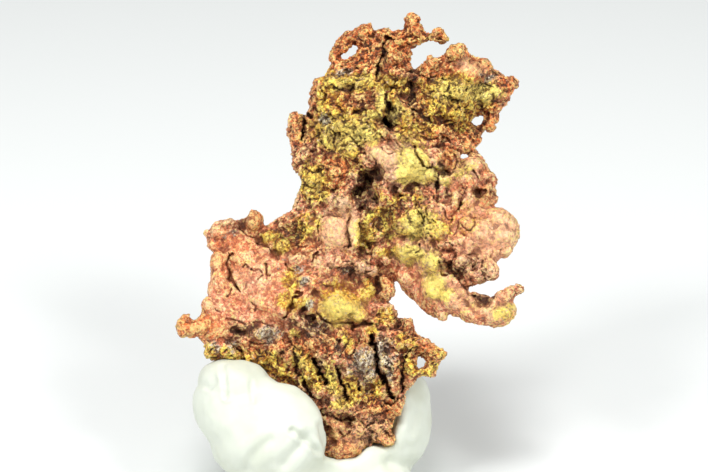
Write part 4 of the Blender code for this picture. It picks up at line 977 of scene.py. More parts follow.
# ---- colour patches on the front: (x, z, half width, half height, turn in degrees, strength) ----
COLOUR_PATCHES = {
    "orange": [
        (20, 418, 60, 34, 1), (75, 428, 35, 20, 1), (105, 408, 12, 10, 1), (85, 390, 18, 12, 0.9),
        (135, 395, 30, 10, -30, 0.7), (158, 375, 14, 9, 1), (141, 338, 14, 14, 1), (123, 316, 9, 14, 30, 1),
        (98, 302, 12, 11, 0.9), (78, 112, 20, 14, 0.8), (84, 101, 8, 8, 0.8), (5, 20, 42, 22, 1),
        (30, 42, 30, 22, 0.9), (-95, 238, 12, 13, 0.7), (-152, 132, 26, 18, 0.7), (-54, 330, 9, 20, 0.8),
        (0, 350, 46, 46, 0.75), (105, 365, 50, 28, 0.7), (95, 330, 40, 14, 0.7), (-14, 290, 14, 14, 0.9),
        (-30, 118, 24, 14, 0.7), (-66, 108, 20, 16, 0.6), (18, 118, 9, 10, 1), (2, 112, 8, 12, 0.8),
        (30, 175, 16, 16, 0.6), (56, 128, 12, 10, 0.6), (-105, 110, 24, 10, 0.5), (136, 262, 10, 14, 0.6),
        (45, 85, 12, 22, 15, 0.5), (120, 160, 30, 12, -20, 0.5), (-125, 205, 20, 24, 0.4),
        (-170, 132, 10, 14, 1), (35, 245, 20, 14, 0.5), (-42, 222, 16, 18, 0.6),
    ],
    "olive": [
        (-14, 378, 15, 10, 0.9), (8, 377, 14, 8, -10, 0.95), (-22, 362, 14, 14, 0.8), (-8, 330, 24, 18, 0.85),
        (15, 327, 14, 11, -15, 1), (-27, 320, 11, 6, 1), (33, 360, 7, 14, 1), (22, 346, 14, 6, 1),
        (46, 352, 7, 15, -10, 1), (51, 377, 9, 6, 1), (55, 369, 7, 4, 1), (40, 374, 8, 9, 0.8),
        (85, 372, 13, 9, 0.8), (104, 372, 18, 13, 0.8), (122, 366, 16, 11, 0.9), (136, 366, 14, 9, 1),
        (100, 358, 18, 8, 0.8), (88, 346, 20, 6, 0.9), (108, 345, 14, 6, 0.8), (112, 335, 12, 8, 0.7),
        (80, 336, 18, 6, 0.6), (70, 328, 12, 7, -20, 0.7), (52, 335, 12, 12, 0.6), (2, 310, 14, 10, 0.8),
        (-36, 278, 15, 22, 10, 1), (6, 294, 12, 8, 0.5), (15, 225, 9, 18, 0.9), (28, 245, 12, 8, 0.8),
        (42, 232, 12, 14, 0.5), (40, 207, 14, 6, 0.8), (60, 226, 14, 8, 1), (75, 240, 18, 10, 0.6),
        (88, 232, 16, 12, 0.6), (80, 190, 12, 20, 0.6), (-12, 158, 24, 22, -15, 0.8), (20, 168, 8, 9, 0.7),
        (-80, 223, 10, 6, 0.95), (-68, 213, 8, 8, 40, 0.95), (-60, 180, 8, 13, 0.8), (-58, 158, 16, 8, 0.9),
        (-45, 233, 12, 14, 0.7), (-55, 225, 14, 10, 0.4), (-120, 104, 30, 7, -12, 0.7),
        (-80, 100, 16, 9, -25, 0.8), (-92, 92, 12, 7, -20, 0.8), (-62, 82, 16, 8, -25, 0.6),
        (-50, 98, 8, 12, 15, 1), (-38, 84, 9, 13, 25, 1), (-18, 78, 8, 18, 15, 1), (-8, 56, 10, 8, 1),
        (3, 72, 7, 14, 0.95), (-55, 127, 8, 6, 0.9), (-3, 120, 6, 9, 20, 0.8), (22, 130, 7, 5, 0.9),
        (22, 70, 12, 12, 0.7), (56, 118, 12, 10, 0.6), (36, 145, 10, 8, 0.7), (60, 97, 6, 12, 0.8),
        (72, 88, 12, 6, 0.7), (84, 92, 8, 6, 0.7), (90, 106, 7, 7, 0.4), (156, 147, 9, 8, 0.8),
        (62, 262, 14, 5, 0.7), (44, 258, 10, 8, 0.6), (30, 265, 9, 10, 0.5), (120, 240, 12, 10, 0.3),
        (86, 166, 14, 7, -30, 0.6), (-20, 385, 14, 6, 0.5), (60, 297, 14, 22, 0.9), (72, 284, 22, 9, 0.8),
        (108, 366, 36, 16, 0.7), (-6, 326, 34, 24, 0.6), (120, 356, 20, 10, 0.6), (20, 378, 26, 10, 0.6),
        (48, 345, 22, 10, 0.5), (90, 355, 26, 12, 0.4), (114, 290, 8, 10, 0.5), (62, 207, 18, 9, 0.9),
        (95, 281, 8, 6, 0.5), (66, 240, 14, 12, 0.8), (-8, 150, 20, 14, 0.8), (88, 172, 12, 12, -30, 0.7),
    ],
    "pale": [
        (31, 362, 5, 12, 0.8), (22, 344, 10, 5, 20, 0.7), (47, 350, 5, 14, -15, 0.8), (-6, 326, 30, 18, 0.5),
        (12, 326, 18, 12, 0.7), (136, 366, 16, 10, 0.9), (8, 378, 16, 7, 0.5), (105, 368, 22, 12, 0.6),
        (64, 222, 26, 20, 0.4), (-14, 378, 10, 8, 0.3), (48, 348, 10, 12, 0.4), (-36, 278, 10, 16, 0.4),
        (60, 226, 16, 10, 0.5), (14, 22, 16, 12, 0.5), (6, 28, 38, 24, 0.4), (140, 215, 34, 36, 0.6),
        (120, 160, 40, 14, -20, 0.55), (88, 164, 26, 10, -35, 0.4), (-12, 228, 24, 20, 0.4),
        (28, 38, 12, 9, 0.4), (-14, 60, 12, 10, 0.4), (-18, 80, 8, 12, 0.4), (-12, 228, 19, 17, 0.5),
        (3, 225, 6, 14, 0.6), (54, 298, 22, 24, 1), (72, 284, 26, 10, 1), (94, 281, 9, 7, 0.8),
        (116, 292, 12, 14, 0.7), (36, 306, 18, 9, 0.8), (35, 292, 8, 7, 0.5), (66, 238, 14, 12, 0.8),
        (62, 207, 20, 10, 0.8), (82, 195, 12, 18, 0.7), (13, 191, 14, 7, -15, 0.8), (-15, 262, 14, 6, 0.7),
        (-5, 254, 8, 9, 0.9), (-8, 150, 22, 14, 0.7), (88, 172, 14, 12, -30, 0.7),
        (110, 162, 14, 8, -25, 0.4), (150, 232, 16, 14, 0.5), (112, 396, 10, 8, 0.6),
        (128, 392, 12, 6, -20, 0.5), (120, 258, 10, 12, 0.4), (-22, 196, 16, 7, 0.5), (104, 264, 8, 8, 0.4),
        (112, 198, 8, 7, 0.6), (150, 148, 12, 6, 10, 0.5), (-100, 185, 26, 22, 0.3), (-50, 97, 6, 8, 0.5),
        (85, 250, 14, 10, 0.4),
    ],
    # Brown: partly the copper's own brown, partly painted shade in hollows and under ledges.
    "brown_and_shade": [
        (62, 370, 14, 20, 0.6), (-14, 16, 16, 18, 0.3), (-95, 240, 11, 12, 0.6), (-60, 226, 20, 14, 0.4),
        (-50, 335, 12, 22, 0.35), (-10, 412, 16, 14, 0.15), (22, 353, 6, 6, 0.8), (38, 352, 3, 16, 1),
        (54, 356, 6, 12, 0.6), (22, 366, 7, 8, 0.6), (88, 336, 20, 8, 0.4), (-65, 218, 14, 16, 0.5),
        (-104, 236, 9, 9, 0.9), (-84, 216, 14, 6, -30, 0.6), (-45, 205, 16, 6, 0.6),
        (-112, 128, 14, 10, -25, 1), (-96, 128, 7, 12, 0.7), (-44, 142, 16, 12, 1), (-34, 130, 18, 12, 0.8),
        (-60, 136, 12, 10, 0.7), (-22, 128, 10, 8, 0.5), (-12, 112, 5, 9, 0.8), (8, 122, 6, 9, 10, 0.8),
        (12, 138, 16, 4, 15, 0.9), (-28, 95, 8, 12, 25, 0.9), (-10, 88, 6, 12, 0.7), (8, 84, 10, 8, 0.7),
        (-50, 76, 9, 12, 20, 0.9), (12, 78, 6, 12, 0.6), (60, 368, 12, 20, 1), (66, 352, 9, 10, 0.9),
        (68, 386, 9, 8, 0.9), (30, 394, 7, 20, 10, 0.9), (35, 414, 5, 14, 0.6), (0, 362, 8, 12, 0.6),
        (12, 362, 10, 7, 0.7), (12, 348, 6, 6, 1), (37, 338, 11, 12, 1), (-38, 312, 10, 8, 0.9),
        (-26, 303, 7, 5, 0.9), (-15, 312, 7, 14, 0.6), (-46, 333, 4, 14, 1), (20, 284, 14, 9, 1),
        (13, 264, 10, 13, 1), (24, 256, 6, 9, 0.9), (66, 271, 11, 7, 0.9), (45, 270, 6, 6, 1),
        (96, 261, 4, 7, 15, 0.9), (128, 266, 7, 8, 0.9), (141, 266, 6, 8, 0.9), (137, 278, 7, 5, 0.8),
        (92, 292, 4, 9, 35, 1), (90, 313, 5, 5, 0.8), (78, 342, 16, 5, -30, 0.7), (95, 354, 10, 5, -30, 0.6),
        (125, 330, 8, 8, 30, 1), (112, 312, 5, 6, 0.7), (36, 238, 8, 12, 0.7), (46, 243, 6, 8, 0.6),
        (13, 206, 6, 8, 0.9), (34, 190, 8, 6, 0.8), (4, 181, 12, 8, 0.7), (28, 174, 5, 14, 0.9),
        (-23, 177, 7, 4, 0.8), (-34, 168, 5, 5, 40, 0.8), (105, 189, 8, 6, -40, 0.9), (95, 196, 6, 6, 0.6),
        (126, 206, 10, 8, 0.5), (132, 160, 14, 9, -15, 1), (50, 136, 8, 8, 1), (60, 110, 10, 4, 40, 0.8),
        (54, 84, 4, 14, 0.8), (-20, 14, 8, 12, 10, 0.4), (-4, 38, 10, 5, -30, 0.6), (18, 22, 6, 6, 0.4),
        (-13, 254, 4, 5, -40, 0.8), (-38, 222, 7, 9, 0.5), (-72, 105, 8, 4, 0.7), (-112, 240, 6, 8, 30, 0.8),
    ],
    # Painted deep shade, where the front lies in shadow.
    "dark_shade": [
        (18, 100, 22, 20, 0.55), (-30, 128, 18, 10, 0.5), (-58, 140, 12, 10, 0.5), (36, 96, 10, 22, 0.4),
        (60, 366, 8, 15, 0.8), (64, 352, 7, 5, -30, 0.7), (36, 338, 9, 9, 0.8), (12, 349, 6, 4, 0.7),
        (-47, 331, 3, 12, 0.7), (-44, 144, 11, 7, 1), (-36, 136, 8, 5, 0.7), (-28, 90, 5, 12, 25, 0.9),
        (-10, 84, 4, 11, 15, 0.7), (-50, 74, 6, 11, 20, 0.8), (68, 388, 6, 5, 0.8), (28, 392, 4, 9, 0.8),
        (36, 412, 3, 10, 0.5), (132, 161, 12, 7, -15, 0.95), (-108, 236, 4, 6, 20, 0.7),
        (-110, 130, 13, 8, -20, 0.95), (-96, 136, 10, 5, 0.6), (-22, 14, 6, 9, 0.6),
        (125, 331, 6, 6, 30, 0.8), (20, 256, 8, 10, 0.3),
    ],
    "grey": [
        (-82, 127, 15, 8, 10, 1), (13, 98, 14, 14, 1), (32, 104, 16, 16, 0.7), (20, 112, 7, 6, 0.5),
        (-118, 116, 6, 8, 0.8), (-135, 114, 6, 4, 0.7), (139, 381, 8, 5, 1), (-27, 340, 5, 6, 0.9),
        (-46, 178, 6, 5, 1), (-5, 190, 6, 3, 0.9), (-40, 155, 6, 5, 1), (-115, 227, 6, 5, 0.7),
        (35, 100, 7, 16, 8, 0.8), (32, 116, 8, 8, 0.5), (-34, 134, 9, 9, 0.6), (40, 84, 5, 12, 15, 0.6),
        (-11, 111, 3, 4, 0.9), (8, 90, 9, 5, 0.7), (-5, 387, 7, 3, 0.7), (-52, 190, 6, 4, 0.6),
        (16, 72, 5, 8, 0.5),
    ],
}
# Each main colour has a deep and a pale end, reached partly by random tone and partly as painted shade and
# painted highlight; brown is partly painted shade, dark is painted shade, and spark is a painted glint.
COPPER_COLOURS = {
    "salmon": (228, 140, 94),
    "pink": (230, 138, 106),
    "salmon_pale": (255, 214, 166),
    "salmon_deep": (194, 100, 64),
    "orange": (228, 122, 58),
    "orange_pale": (255, 202, 128),
    "orange_deep": (166, 72, 32),
    "olive": (208, 146, 44),
    "olive_pale": (255, 230, 100),
    "olive_deep": (132, 74, 18),
    "cream": (255, 214, 172),
    "cream_yellow": (255, 236, 140),
    "spark": (255, 230, 146),
    "brown_and_shade": (104, 58, 28),
    "grey": (92, 78, 62),
    "grey_pale": (206, 200, 178),
    "dark_shade": (54, 28, 14),
}
PUTTY_COLOURS = {"putty": (212, 217, 204), "putty_shade": (203, 208, 192)}
# Creases in the putty, as seen from the front: half width, depth, then the points, in drawing steps.
PUTTY_CREASES = [
    (2, 5, [(-124, 97), (-125, 88), (-123, 76), (-123, 62)]), (3, 2, [(-117, 98), (-112, 84)]),
    (2.5, 2, [(-100, 72), (-96, 58)]), (3, 4, [(-58, 30), (-50, 25), (-42, 19), (-34, 10)]),
    (5, 3, [(-44, 24), (-54, 10), (-66, -4)]), (2.5, 3, [(-150, 76), (-138, 71), (-131, 74)]),
    (3, 3, [(-146, 88), (-136, 92)]), (6, 3, [(-80, 20), (-96, 6), (-104, -8)]),
    (4, 3, [(-30, 34), (-27, 20), (-24, 6)]), (6, 3, [(40, -2), (52, -6), (66, -4)]),
    (5, 2, [(60, 70), (64, 50), (62, 30)]),
]


STRAYED = [(5, 13, 31), (2.5, 5, 37)]  # steps: how far, size of the noise and seed
BACK_COLOURS = {"olive": 51, "brown_and_shade": 52, "orange": 53}  # the seed of each one's patches on the back
BACK_PATCH = 46  # steps
PLATE_TINT = 12  # steps, the size of the plates that differ in tint
GRAIN_TINT = 6  # steps, and of the grains
# How far a point stands out, at three sizes, which the material turns into painted shade and highlight: name,
# rounds of blurring, and the steps that a measure of 1 is.
RELIEFS = [("relief", 3, 1.2), ("lump", 14, 3), ("swell", 60, 10)]


def strayed(points):
    """The points moved about, so that a patch of colour gets a ragged edge."""
    return moved(points, flattened(points), STRAYED)


def patch_share(points, patches, skin):
    """How much of a colour lies at each point: patches with ragged edges, over one another."""
    at = strayed(points)
    bare = np.ones(len(points))
    for *ellipse, strength in patches:
        gap = np.sqrt(ellipse_distance(at, *kept_ellipse(skin, strayed, *ellipse)))
        bare *= 1 - strength * np.clip(1.4 - gap, 0, 0.8) / 0.8
    return 1 - bare


def store(mesh, name, values):
    made = mesh.attributes.new(name, "FLOAT", "POINT")
    made.data.foreach_set("value", np.ascontiguousarray(values, np.float32))


def store_looks(mesh, skin):
    """Keeps on the mesh where each colour lies, and how far each point stands out or lies back, from which
    the material paints shade and highlight.
    """
    points, facing, pairs = places(mesh), normals(mesh), neighbour_pairs(mesh)
    front = np.clip(0.5 - facing[:, 1] * 0.9, 0, 1)
    for name, patches in COLOUR_PATCHES.items():
        share = patch_share(points, patches, skin) * front
        if name in BACK_COLOURS:
            share += np.clip(waves(points, BACK_PATCH, BACK_COLOURS[name]) * 1.5, 0, 1) * (1 - front)
        store(mesh, name, share)
    own, _, _ = grains(plates(points), PLATE_TINT, PLATE_SEED)
    small, _, _ = grains(points, GRAIN_TINT, CRUST_SEED)
    store(mesh, "plate", 0.5 + 0.6 * own + 0.4 * small)
    level = points
    for name, rounds, full in RELIEFS:
        blurred = spread(level, pairs, rounds)
        store(mesh, name, 0.5 + ((level - blurred) * facing).sum(1) / full)
        level = blurred
    # How deep in a hollow, cleft or hair crack each point lies, for the shade painted there.
    store(mesh, "sunk_shade", sunk_share(points, skin) * front)
    store(mesh, "smooth", patch_share(points, SMOOTH_PATCHES, skin) * front)


def sunk_share(points, skin):
    """How far inside a hollow or a narrow cleft each point is, for the shade painted there."""
    at = ragged(points)
    deep = np.zeros(len(points))
    for *ellipse, depth in FRONT_HOLLOWS:
        share = np.clip(1.3 - ellipse_distance(at, *kept_ellipse(skin, ragged, *ellipse)), 0, 1)
        deep += share * depth / 48
    deep = np.clip(deep, 0, 0.9)
    for half_width, depth, path in FRONT_GROOVES:
        gap = distance_to(at, kept_path(skin, path)) / (CRACK_WIDTH * half_width)
        deep = np.maximum(deep, np.clip(1.2 - gap**2, 0, 1) * min(1, 0.4 + depth / 40))
    at = wavy(points)
    broken = np.clip(0.45 + 0.7 * waves(points, 7, 15), 0.05, 0.8)
    for path in HAIR_CRACKS:
        deep = np.maximum(deep, broken * np.clip(1.3 - distance_to(at, path) / HAIR_WIDTH, 0, 1))
    return deep


# ---- materials ----
def linear(colour):
    """A colour given as sRGB from 0 to 255, as Blender's linear values."""
    shares = [value / 255 for value in colour]
    return (*[s / 12.92 if s < 0.04045 else ((s + 0.055) / 1.055) ** 2.4 for s in shares], 1)


class Graph:
    """Short ways to add nodes to a material. A place is in metres, and a scale in lumps per metre."""

    def __init__(self, name):
        self.material = bpy.data.materials.new(name)
        self.material.use_nodes = True
        self.tree = self.material.node_tree
        self.shader = self.tree.nodes["Principled BSDF"]

    def plug(self, made, inputs):
        for key, value in inputs.items():
            if isinstance(value, bpy.types.NodeSocket):
                self.tree.links.new(value, made.inputs[key])
            else:
                made.inputs[key].default_value = value
        return made

    def node(self, kind, inputs, **settings):
        made = self.tree.nodes.new(kind)
        for key, value in settings.items():
            setattr(made, key, value)
        return self.plug(made, inputs)

    def place(self):
        return self.node("ShaderNodeTexCoord", {}).outputs["Object"]

    def stored(self, name):
        return self.node("ShaderNodeAttribute", {}, attribute_name=name).outputs["Fac"]

    def noise(self, place, per_metre, detail=2.0, rough=0.5, curled=0.0, output="Fac"):
        grain = {"Scale": per_metre, "Detail": detail, "Roughness": rough, "Distortion": curled}
        return self.node("ShaderNodeTexNoise", {"Vector": place, **grain}).outputs[output]

    def cells(self, place, per_metre, feature="F1"):
        inputs = {"Vector": place, "Scale": per_metre}
        return self.node("ShaderNodeTexVoronoi", inputs, feature=feature)

    def math(self, operation, first, *others):
        for other in others:
            made = self.node("ShaderNodeMath", {0: first, 1: other}, operation=operation)
            first = made.outputs[0]
        return first

    def plus(self, *values):
        return self.math("ADD", *values)

    def minus(self, a, b):
        return self.math("SUBTRACT", a, b)

    def times(self, *values):
        return self.math("MULTIPLY", *values)

    def larger(self, a, b):
        return self.math("MAXIMUM", a, b)

    def vector(self, operation, a, b, output="Vector"):
        return self.node("ShaderNodeVectorMath", {0: a, 1: b}, operation=operation).outputs[output]

    def between(self, value, low, high, to_low=0.0, to_high=1.0):
        inputs = {"Value": value, "From Min": low, "From Max": high, "To Min": to_low, "To Max": to_high}
        return self.node("ShaderNodeMapRange", inputs).outputs["Result"]

    def mix(self, share, a, b, blend="MIX"):
        inputs = {"Factor": share, 6: a, 7: b}
        return self.node("ShaderNodeMix", inputs, data_type="RGBA", blend_type=blend).outputs[2]

    def bump(self, strength, distance, height):
        inputs = {"Strength": strength, "Distance": distance, "Height": height}
        return self.node("ShaderNodeBump", inputs).outputs["Normal"]


# The grain of the crust: lumps to a metre, then the detail, roughness and distortion of the noise.
CRUST_NOISES = {
    "fine": (3600, 4.0, 0.75),
    "blotch": (800, 5.0, 0.8),
    "leaf": (1500, 3.0, 0.65, 1.8),
    "cloud": (280, 4.0, 0.65),
}
FLAKES = 3000  # to a metre
# The crust's fine cracks, painted dark as shade: how many to a metre, how thin, and how rare.
CRACK_LINES = [(650, 0.022, 0.48), (1300, 0.035, 0.49), (2200, 0.05, 0.5)]
CRACK_STRAY = 0.0012  # m, how far a crack wanders
FINE_HEIGHT = 0.00026  # m, of the finest grain in the bump
CRACK_HEIGHT = 0.0002  # m, of a crack's depth in the bump


def shaded_cracks(g, place):
    """Painted shade along fine cracks, 1 in their middle: the edges of bent cells, and the zero lines of
    three noises.
    """
    stray = g.vector("MULTIPLY", g.noise(place, 1300, 3.0, output="Color"), (CRACK_STRAY,) * 3)
    astray = g.vector("ADD", place, stray)
    edge = g.cells(astray, 750, "DISTANCE_TO_EDGE").outputs["Distance"]
    lines = g.times(g.between(edge, 0.03, 0.12, 1, 0), g.between(g.noise(place, 500), 0.46, 0.56))
    for scale, thin, clear in CRACK_LINES:
        crack_line = g.math("ABSOLUTE", g.minus(g.noise(astray, scale, 1.0), 0.5), 0)
        crack_line = g.between(crack_line, thin * 0.3, thin, 1, 0)
        shown = g.between(g.noise(place, 0.6 * scale), clear - 0.04, clear + 0.06)
        lines = g.larger(lines, g.times(crack_line, shown))
    return lines


def flake_bump(g, place, flake, bright, fine, crack):
    """Each flake lies at a slope of its own, the bright ones at the steepest."""
    off = g.vector("SUBTRACT", place, flake.outputs["Position"])
    tilt = g.vector("SUBTRACT", flake.outputs["Color"], (0.5, 0.5, 0.5))
    height = g.times(g.vector("DOT_PRODUCT", off, tilt, "Value"), g.between(bright, 0, 1, 0.5, 1.1))
    height = g.plus(height, g.times(fine, FINE_HEIGHT))
    return g.bump(0.9, 1.0, g.minus(height, g.times(crack, CRACK_HEIGHT)))


def copper_shades(g, tone, lit, cloud):
    """The three main colours, each running from deep to pale, partly as painted shade and painted highlight.
    """
    low_end, high_end = g.between(lit, 0.0, -0.6), g.between(lit, 0.12, 0.7)
    middle = {**tone, "salmon": g.mix(g.between(cloud, 0.42, 0.6), tone["salmon"], tone["pink"])}
    bright_end = {"olive": g.larger(high_end, g.times(g.stored("pale"), 0.7))}
    shades = {}
    for name in ("salmon", "orange", "olive"):
        shade = g.mix(low_end, middle[name], tone[name + "_deep"])
        shades[name] = g.mix(bright_end.get(name, high_end), shade, tone[name + "_pale"])
    return shades


def copper_material():
    g = Graph("copper_crust")
    tone = {name: linear(colour) for name, colour in COPPER_COLOURS.items()}
    place = g.place()
    fine, blotch, leaf, cloud = (g.noise(place, *noise) for noise in CRUST_NOISES.values())
    flake = g.cells(place, FLAKES)
    speck = g.node("ShaderNodeSeparateColor", {"Color": flake.outputs["Color"]})
    red, green, blue = (speck.outputs[name] for name in ("Red", "Green", "Blue"))
    relief, lump, swell, smooth = (g.stored(name) for name in ("relief", "lump", "swell", "smooth"))
    # Painted shade in hollows, clefts and hair cracks, weaker where the crust is smooth.
    sunk_shade = g.times(g.stored("sunk_shade"), g.between(smooth, 0, 1, 1, 0.45))

    # What stands out, and the painted shade of the creases and cracks between.
    top = g.times(g.between(relief, 0.42, 0.8), g.between(lump, 0.35, 0.7))
    high = g.plus(g.between(relief, 0.1, 0.9, -0.5, 0.5), g.between(lump, 0.1, 0.9, -0.5, 0.5))
    glint = g.times(top, g.between(g.plus(fine, g.between(green, 0, 1, -0.3, 0.3)), 0.46, 0.6))
    crease_shade = g.larger(g.between(relief, 0.3, 0.0), g.between(lump, 0.22, -0.1, 0, 0.6))
    crease_shade = g.times(crease_shade, g.between(fine, 0.3, 0.6, 0.5, 1.0), g.between(smooth, 0, 1, 1, 0.6))
    # Painted shade along the fine cracks, weaker on what stands out and where the crust is smooth; the same
    # lines sink in the bump.
    crack = g.times(shaded_cracks(g, place), g.between(high, 0.3, -0.1, 0.35, 1), g.between(smooth, 0, 1, 1, 0.25))

    # How far towards its pale end each colour is: random tone, and painted highlight where the relief stands
    # out and painted shade where it lies back.
    lit = g.plus(
        g.between(fine, 0.3, 0.7, -0.4, 0.4),
        g.between(green, 0, 1, -0.3, 0.3),
        g.between(leaf, 0.36, 0.64, -0.45, 0.45),
    )
    lit = g.plus(
        g.times(lit, g.between(smooth, 0, 1, 1.15, 0.95)),
        g.between(blotch, 0.35, 0.65, 0.3, -0.3),
        g.times(high, 0.4),
        g.between(cloud, 0.35, 0.65, -0.25, 0.35),
    )
    shades = copper_shades(g, tone, lit, cloud)
    granular = g.plus(fine, g.between(blue, 0, 1, -0.12, 0.12))
    grey = g.mix(g.between(granular, 0.44, 0.56), tone["grey"], tone["grey_pale"])

    # The grain that breaks up the edges of the patches.
    grainy = g.plus(
        g.between(red, 0, 1, -0.2, 0.2),
        g.between(g.stored("plate"), 0, 1, -0.15, 0.15),
        g.between(leaf, 0.36, 0.64, 0.3, -0.3),
        g.between(blotch, 0.35, 0.65, -0.4, 0.4),
        g.between(fine, 0.3, 0.7, -0.2, 0.2),
    )
    yellow = g.minus(g.plus(g.stored("olive"), g.times(high, 0.1)), g.times(grainy, 0.75))
    yellow = g.between(yellow, 0.18, 0.75)
    creamy = g.plus(g.times(g.stored("pale"), 0.9), g.times(grainy, 0.3))
    # Painted shade and the copper's own brown over the brown patches, kept off the tops.
    shaded = g.times(g.stored("brown_and_shade"), g.between(g.minus(fine, glint), 0.3, 0.55, 0.2, 1.0))
    # Painted deep shade over the dark patches, lighter on what stands out.
    deep = g.plus(g.minus(g.stored("dark_shade"), g.times(top, 0.5)), g.times(grainy, 0.6))
    layers = [
        (g.between(g.plus(g.stored("orange"), grainy), 0.1, 0.8), shades["orange"]),
        (yellow, shades["olive"]),
        (g.between(creamy, 0.1, 0.9, 0, 0.6), g.mix(yellow, tone["cream"], tone["cream_yellow"])),
        (g.between(g.plus(g.stored("grey"), grainy), 0.3, 0.9, 0, 0.9), grey),
        (g.times(shaded, 0.75), tone["brown_and_shade"]),
        (g.times(crease_shade, 0.8), tone["brown_and_shade"]),
        (g.times(crack, 0.85), tone["dark_shade"]),
        # Painted shade in broad places that lie back.
        (g.between(swell, 0.4, 0.05, 0, 0.4), tone["brown_and_shade"]),
        (g.larger(g.times(sunk_shade, 0.85), g.between(deep, 0.2, 0.9, 0, 0.75)), tone["dark_shade"]),
    ]
    colour = shades["salmon"]
    for share, over in layers:
        colour = g.mix(share, colour, over)

    # Light and dark flakes, and a few bright ones, with a painted glint where they stand out.
    speckled = g.between(smooth, 0, 1, 1.0, 0.55)
    colour = g.mix(speckled, colour, g.between(blue, 0.0, 1.0, 0.42, 1.5), "MULTIPLY")
    bright = g.between(green, 0.74, 0.86)
    colour = g.mix(g.times(bright, g.between(relief, 0.2, 0.6, 0.0, 0.4)), colour, tone["spark"])
    surface = {
        "Base Color": colour,
        "Metallic": g.between(bright, 0, 1, 0.12, 0.6),
        "Roughness": g.between(bright, 0, 1, 0.5, 0.32),
        "Normal": flake_bump(g, place, flake, bright, fine, crack),
    }
    g.plug(g.shader, surface)
    return g.material


def putty_material():
    g = Graph("pressed_putty")
    tone = {name: linear(colour) for name, colour in PUTTY_COLOURS.items()}
    place = g.place()
    blotch = g.between(g.noise(place, 160, 3.0), 0.4, 0.65)
    surface = {
        "Base Color": g.mix(blotch, tone["putty"], tone["putty_shade"]),
        "Roughness": g.between(g.noise(place, 900), 0.3, 0.7, 0.5, 0.62),
        "Normal": g.bump(0.12, 0.0002, g.noise(place, 600, 4.0)),
        "Subsurface Weight": 0.15,
        "Subsurface Radius": (0.002, 0.002, 0.0015),
    }
    g.plug(g.shader, surface)
    return g.material


# ---- pieces ----
def copper_place():
    return Matrix.Translation(FOOT) @ Matrix.Rotation(-LEAN, 4, "X") @ Matrix.Scale(GRID, 4)


def piece_of(name, mesh, made_material, node):
    obj = in_scene(name, mesh)
    mesh.materials.clear()
    mesh.materials.append(made_material)
    mesh.shade_smooth()
    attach(obj, "root")
    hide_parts(node)


def make_copper():
    mesh, skin = copper_in_steps()
    store_looks(mesh, skin)
    seen_from_eye(mesh)
    mesh.transform(copper_place())
    piece_of("copper_mass", mesh, copper_material(), "native_copper")


def on_drawing(points):
    """Where points in the world lie on the front view, as drawn."""
    back = np.array(copper_place().inverted())
    at = points @ back[:3, :3].T + back[:3, 3]
    eye = np.array(EYE, float)
    seen = eye + (at - eye) * (-eye[1] / (at[:, 1] - eye[1]))[:, None]
    seen[:, 1] = 0
    return seen


PUTTY_CELL = 0.0003  # m
PUTTY_SWELL = 0.0003  # m, what smoothing takes away
PUTTY_FREE = 0.003  # m above the ground, where the dents reach their full depth
PUTTY_SHOULDER = (-118, 88, 42, 20, -6)  # an ellipse on the front, as for the lumps
SHOULDER_RISE = 0.0012  # m
# Dents in the putty, in metres: height, width and seed.
PUTTY_DENTS = [(0.00035, 0.009, 31), (0.00015, 0.004, 32)]


def press_putty(mesh):
    """Presses the lump as a hand would: flats, a raised shoulder and folded creases."""
    points, facing = places(mesh), normals(mesh)
    seen = on_drawing(points)
    free = np.clip(points[:, 2] / PUTTY_FREE, 0, 1)
    front = np.clip(-facing[:, 1] * 2 + 0.2, 0, 1)
    lift = np.full(len(points), PUTTY_SWELL)
    for height, width, seed in PUTTY_DENTS:
        lift += height * crumpled(points, width, seed)
    lift += SHOULDER_RISE * np.clip(1.3 - ellipse_distance(seen, *PUTTY_SHOULDER), 0, 1)
    for half_width, depth, path in PUTTY_CREASES:
        gap = distance_to(seen, path) / half_width
        lift -= GRID * depth * front * (np.clip(1.2 - gap, 0, 1) - 0.35 * np.clip(1 - np.abs(gap - 2), 0, 1))
    put(mesh, points + facing * (free * lift)[:, None])


def make_putty():
    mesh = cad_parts["mounting_putty"].data.copy()
    mesh = smoothed(fused(mesh, PUTTY_CELL), 12)
    press_putty(mesh)
    mesh = smoothed(mesh, 1)
    piece_of("putty_lump", mesh, putty_material(), "mounting_putty")


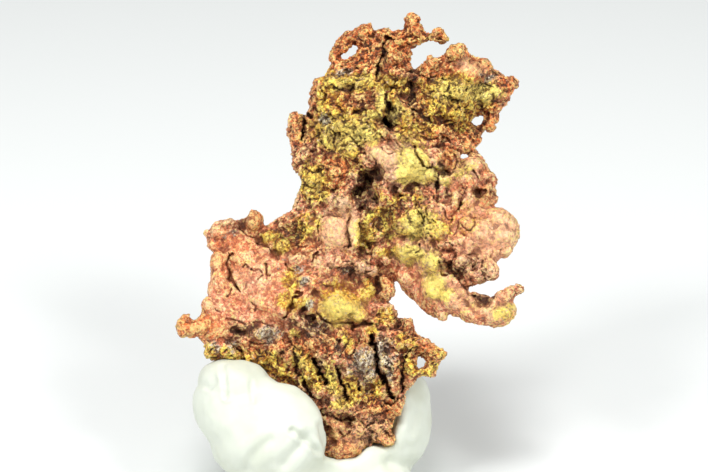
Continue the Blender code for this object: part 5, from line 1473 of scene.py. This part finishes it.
# ---- stage ----
FLOOR_HALF = 1.5  # m
FLOOR_COLOUR = (227, 230, 229)
CAMERA_SENSOR = 36  # mm
CAMERA_LENS = 126.8  # mm
WORLD_LIGHT = 0.4
LAMP_AIM = Vector((0, 0, 0.035))  # the middle of the part
LAMP_AWAY = 0.6  # m
# Name, azimuth and elevation in degrees, width in metres, watts.
LAMPS = [
    ("left_lamp", -50, 45, 0.14, 1.7),
    ("right_lamp", 50, 42, 0.14, 1.8),
    ("top_lamp", -10, 72, 0.2, 2.1),
]


def make_floor():
    bm = bmesh.new()
    bmesh.ops.create_grid(bm, x_segments=1, y_segments=1, size=FLOOR_HALF)
    mesh = bpy.data.meshes.new("floor")
    bm.to_mesh(mesh)
    bm.free()
    floor = in_scene("floor", mesh)
    g = Graph("pale_floor")
    g.plug(g.shader, {"Base Color": linear(FLOOR_COLOUR), "Roughness": 0.9})
    mesh.materials.append(g.material)
    floor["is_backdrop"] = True


def make_camera():
    data = bpy.data.cameras.new("camera")
    data.sensor_width = CAMERA_SENSOR
    data.lens = CAMERA_LENS
    data.clip_start = 0.01
    camera = in_scene("camera", data)
    camera.location = copper_place() @ Vector(EYE)
    camera.rotation_euler = (math.radians(90) - LEAN, 0, 0)
    bpy.context.scene.camera = camera


def add_light(name, azimuth, elevation, size, watts):
    data = bpy.data.lights.new(name, "AREA")
    data.size = size
    data.energy = watts
    light = in_scene(name, data)
    a, e = math.radians(azimuth), math.radians(elevation)
    way = Vector((math.sin(a) * math.cos(e), -math.cos(a) * math.cos(e), math.sin(e)))
    light.location = LAMP_AIM + LAMP_AWAY * way
    light.rotation_euler = way.to_track_quat("Z", "Y").to_euler()


def make_light():
    world = bpy.data.worlds.new("studio")
    world.use_nodes = True
    back = world.node_tree.nodes["Background"]
    back.inputs["Color"].default_value = (1, 1, 1, 1)
    back.inputs["Strength"].default_value = WORLD_LIGHT
    bpy.context.scene.world = world
    for lamp in LAMPS:
        add_light(*lamp)
    bpy.context.scene.view_settings.view_transform = "Standard"


def corners(box):
    return [list(corner) for corner in box]


make_camera()
make_light()
make_floor()
make_copper()
make_putty()
{"cad": corners(cad_box), "visual": corners(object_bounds())}
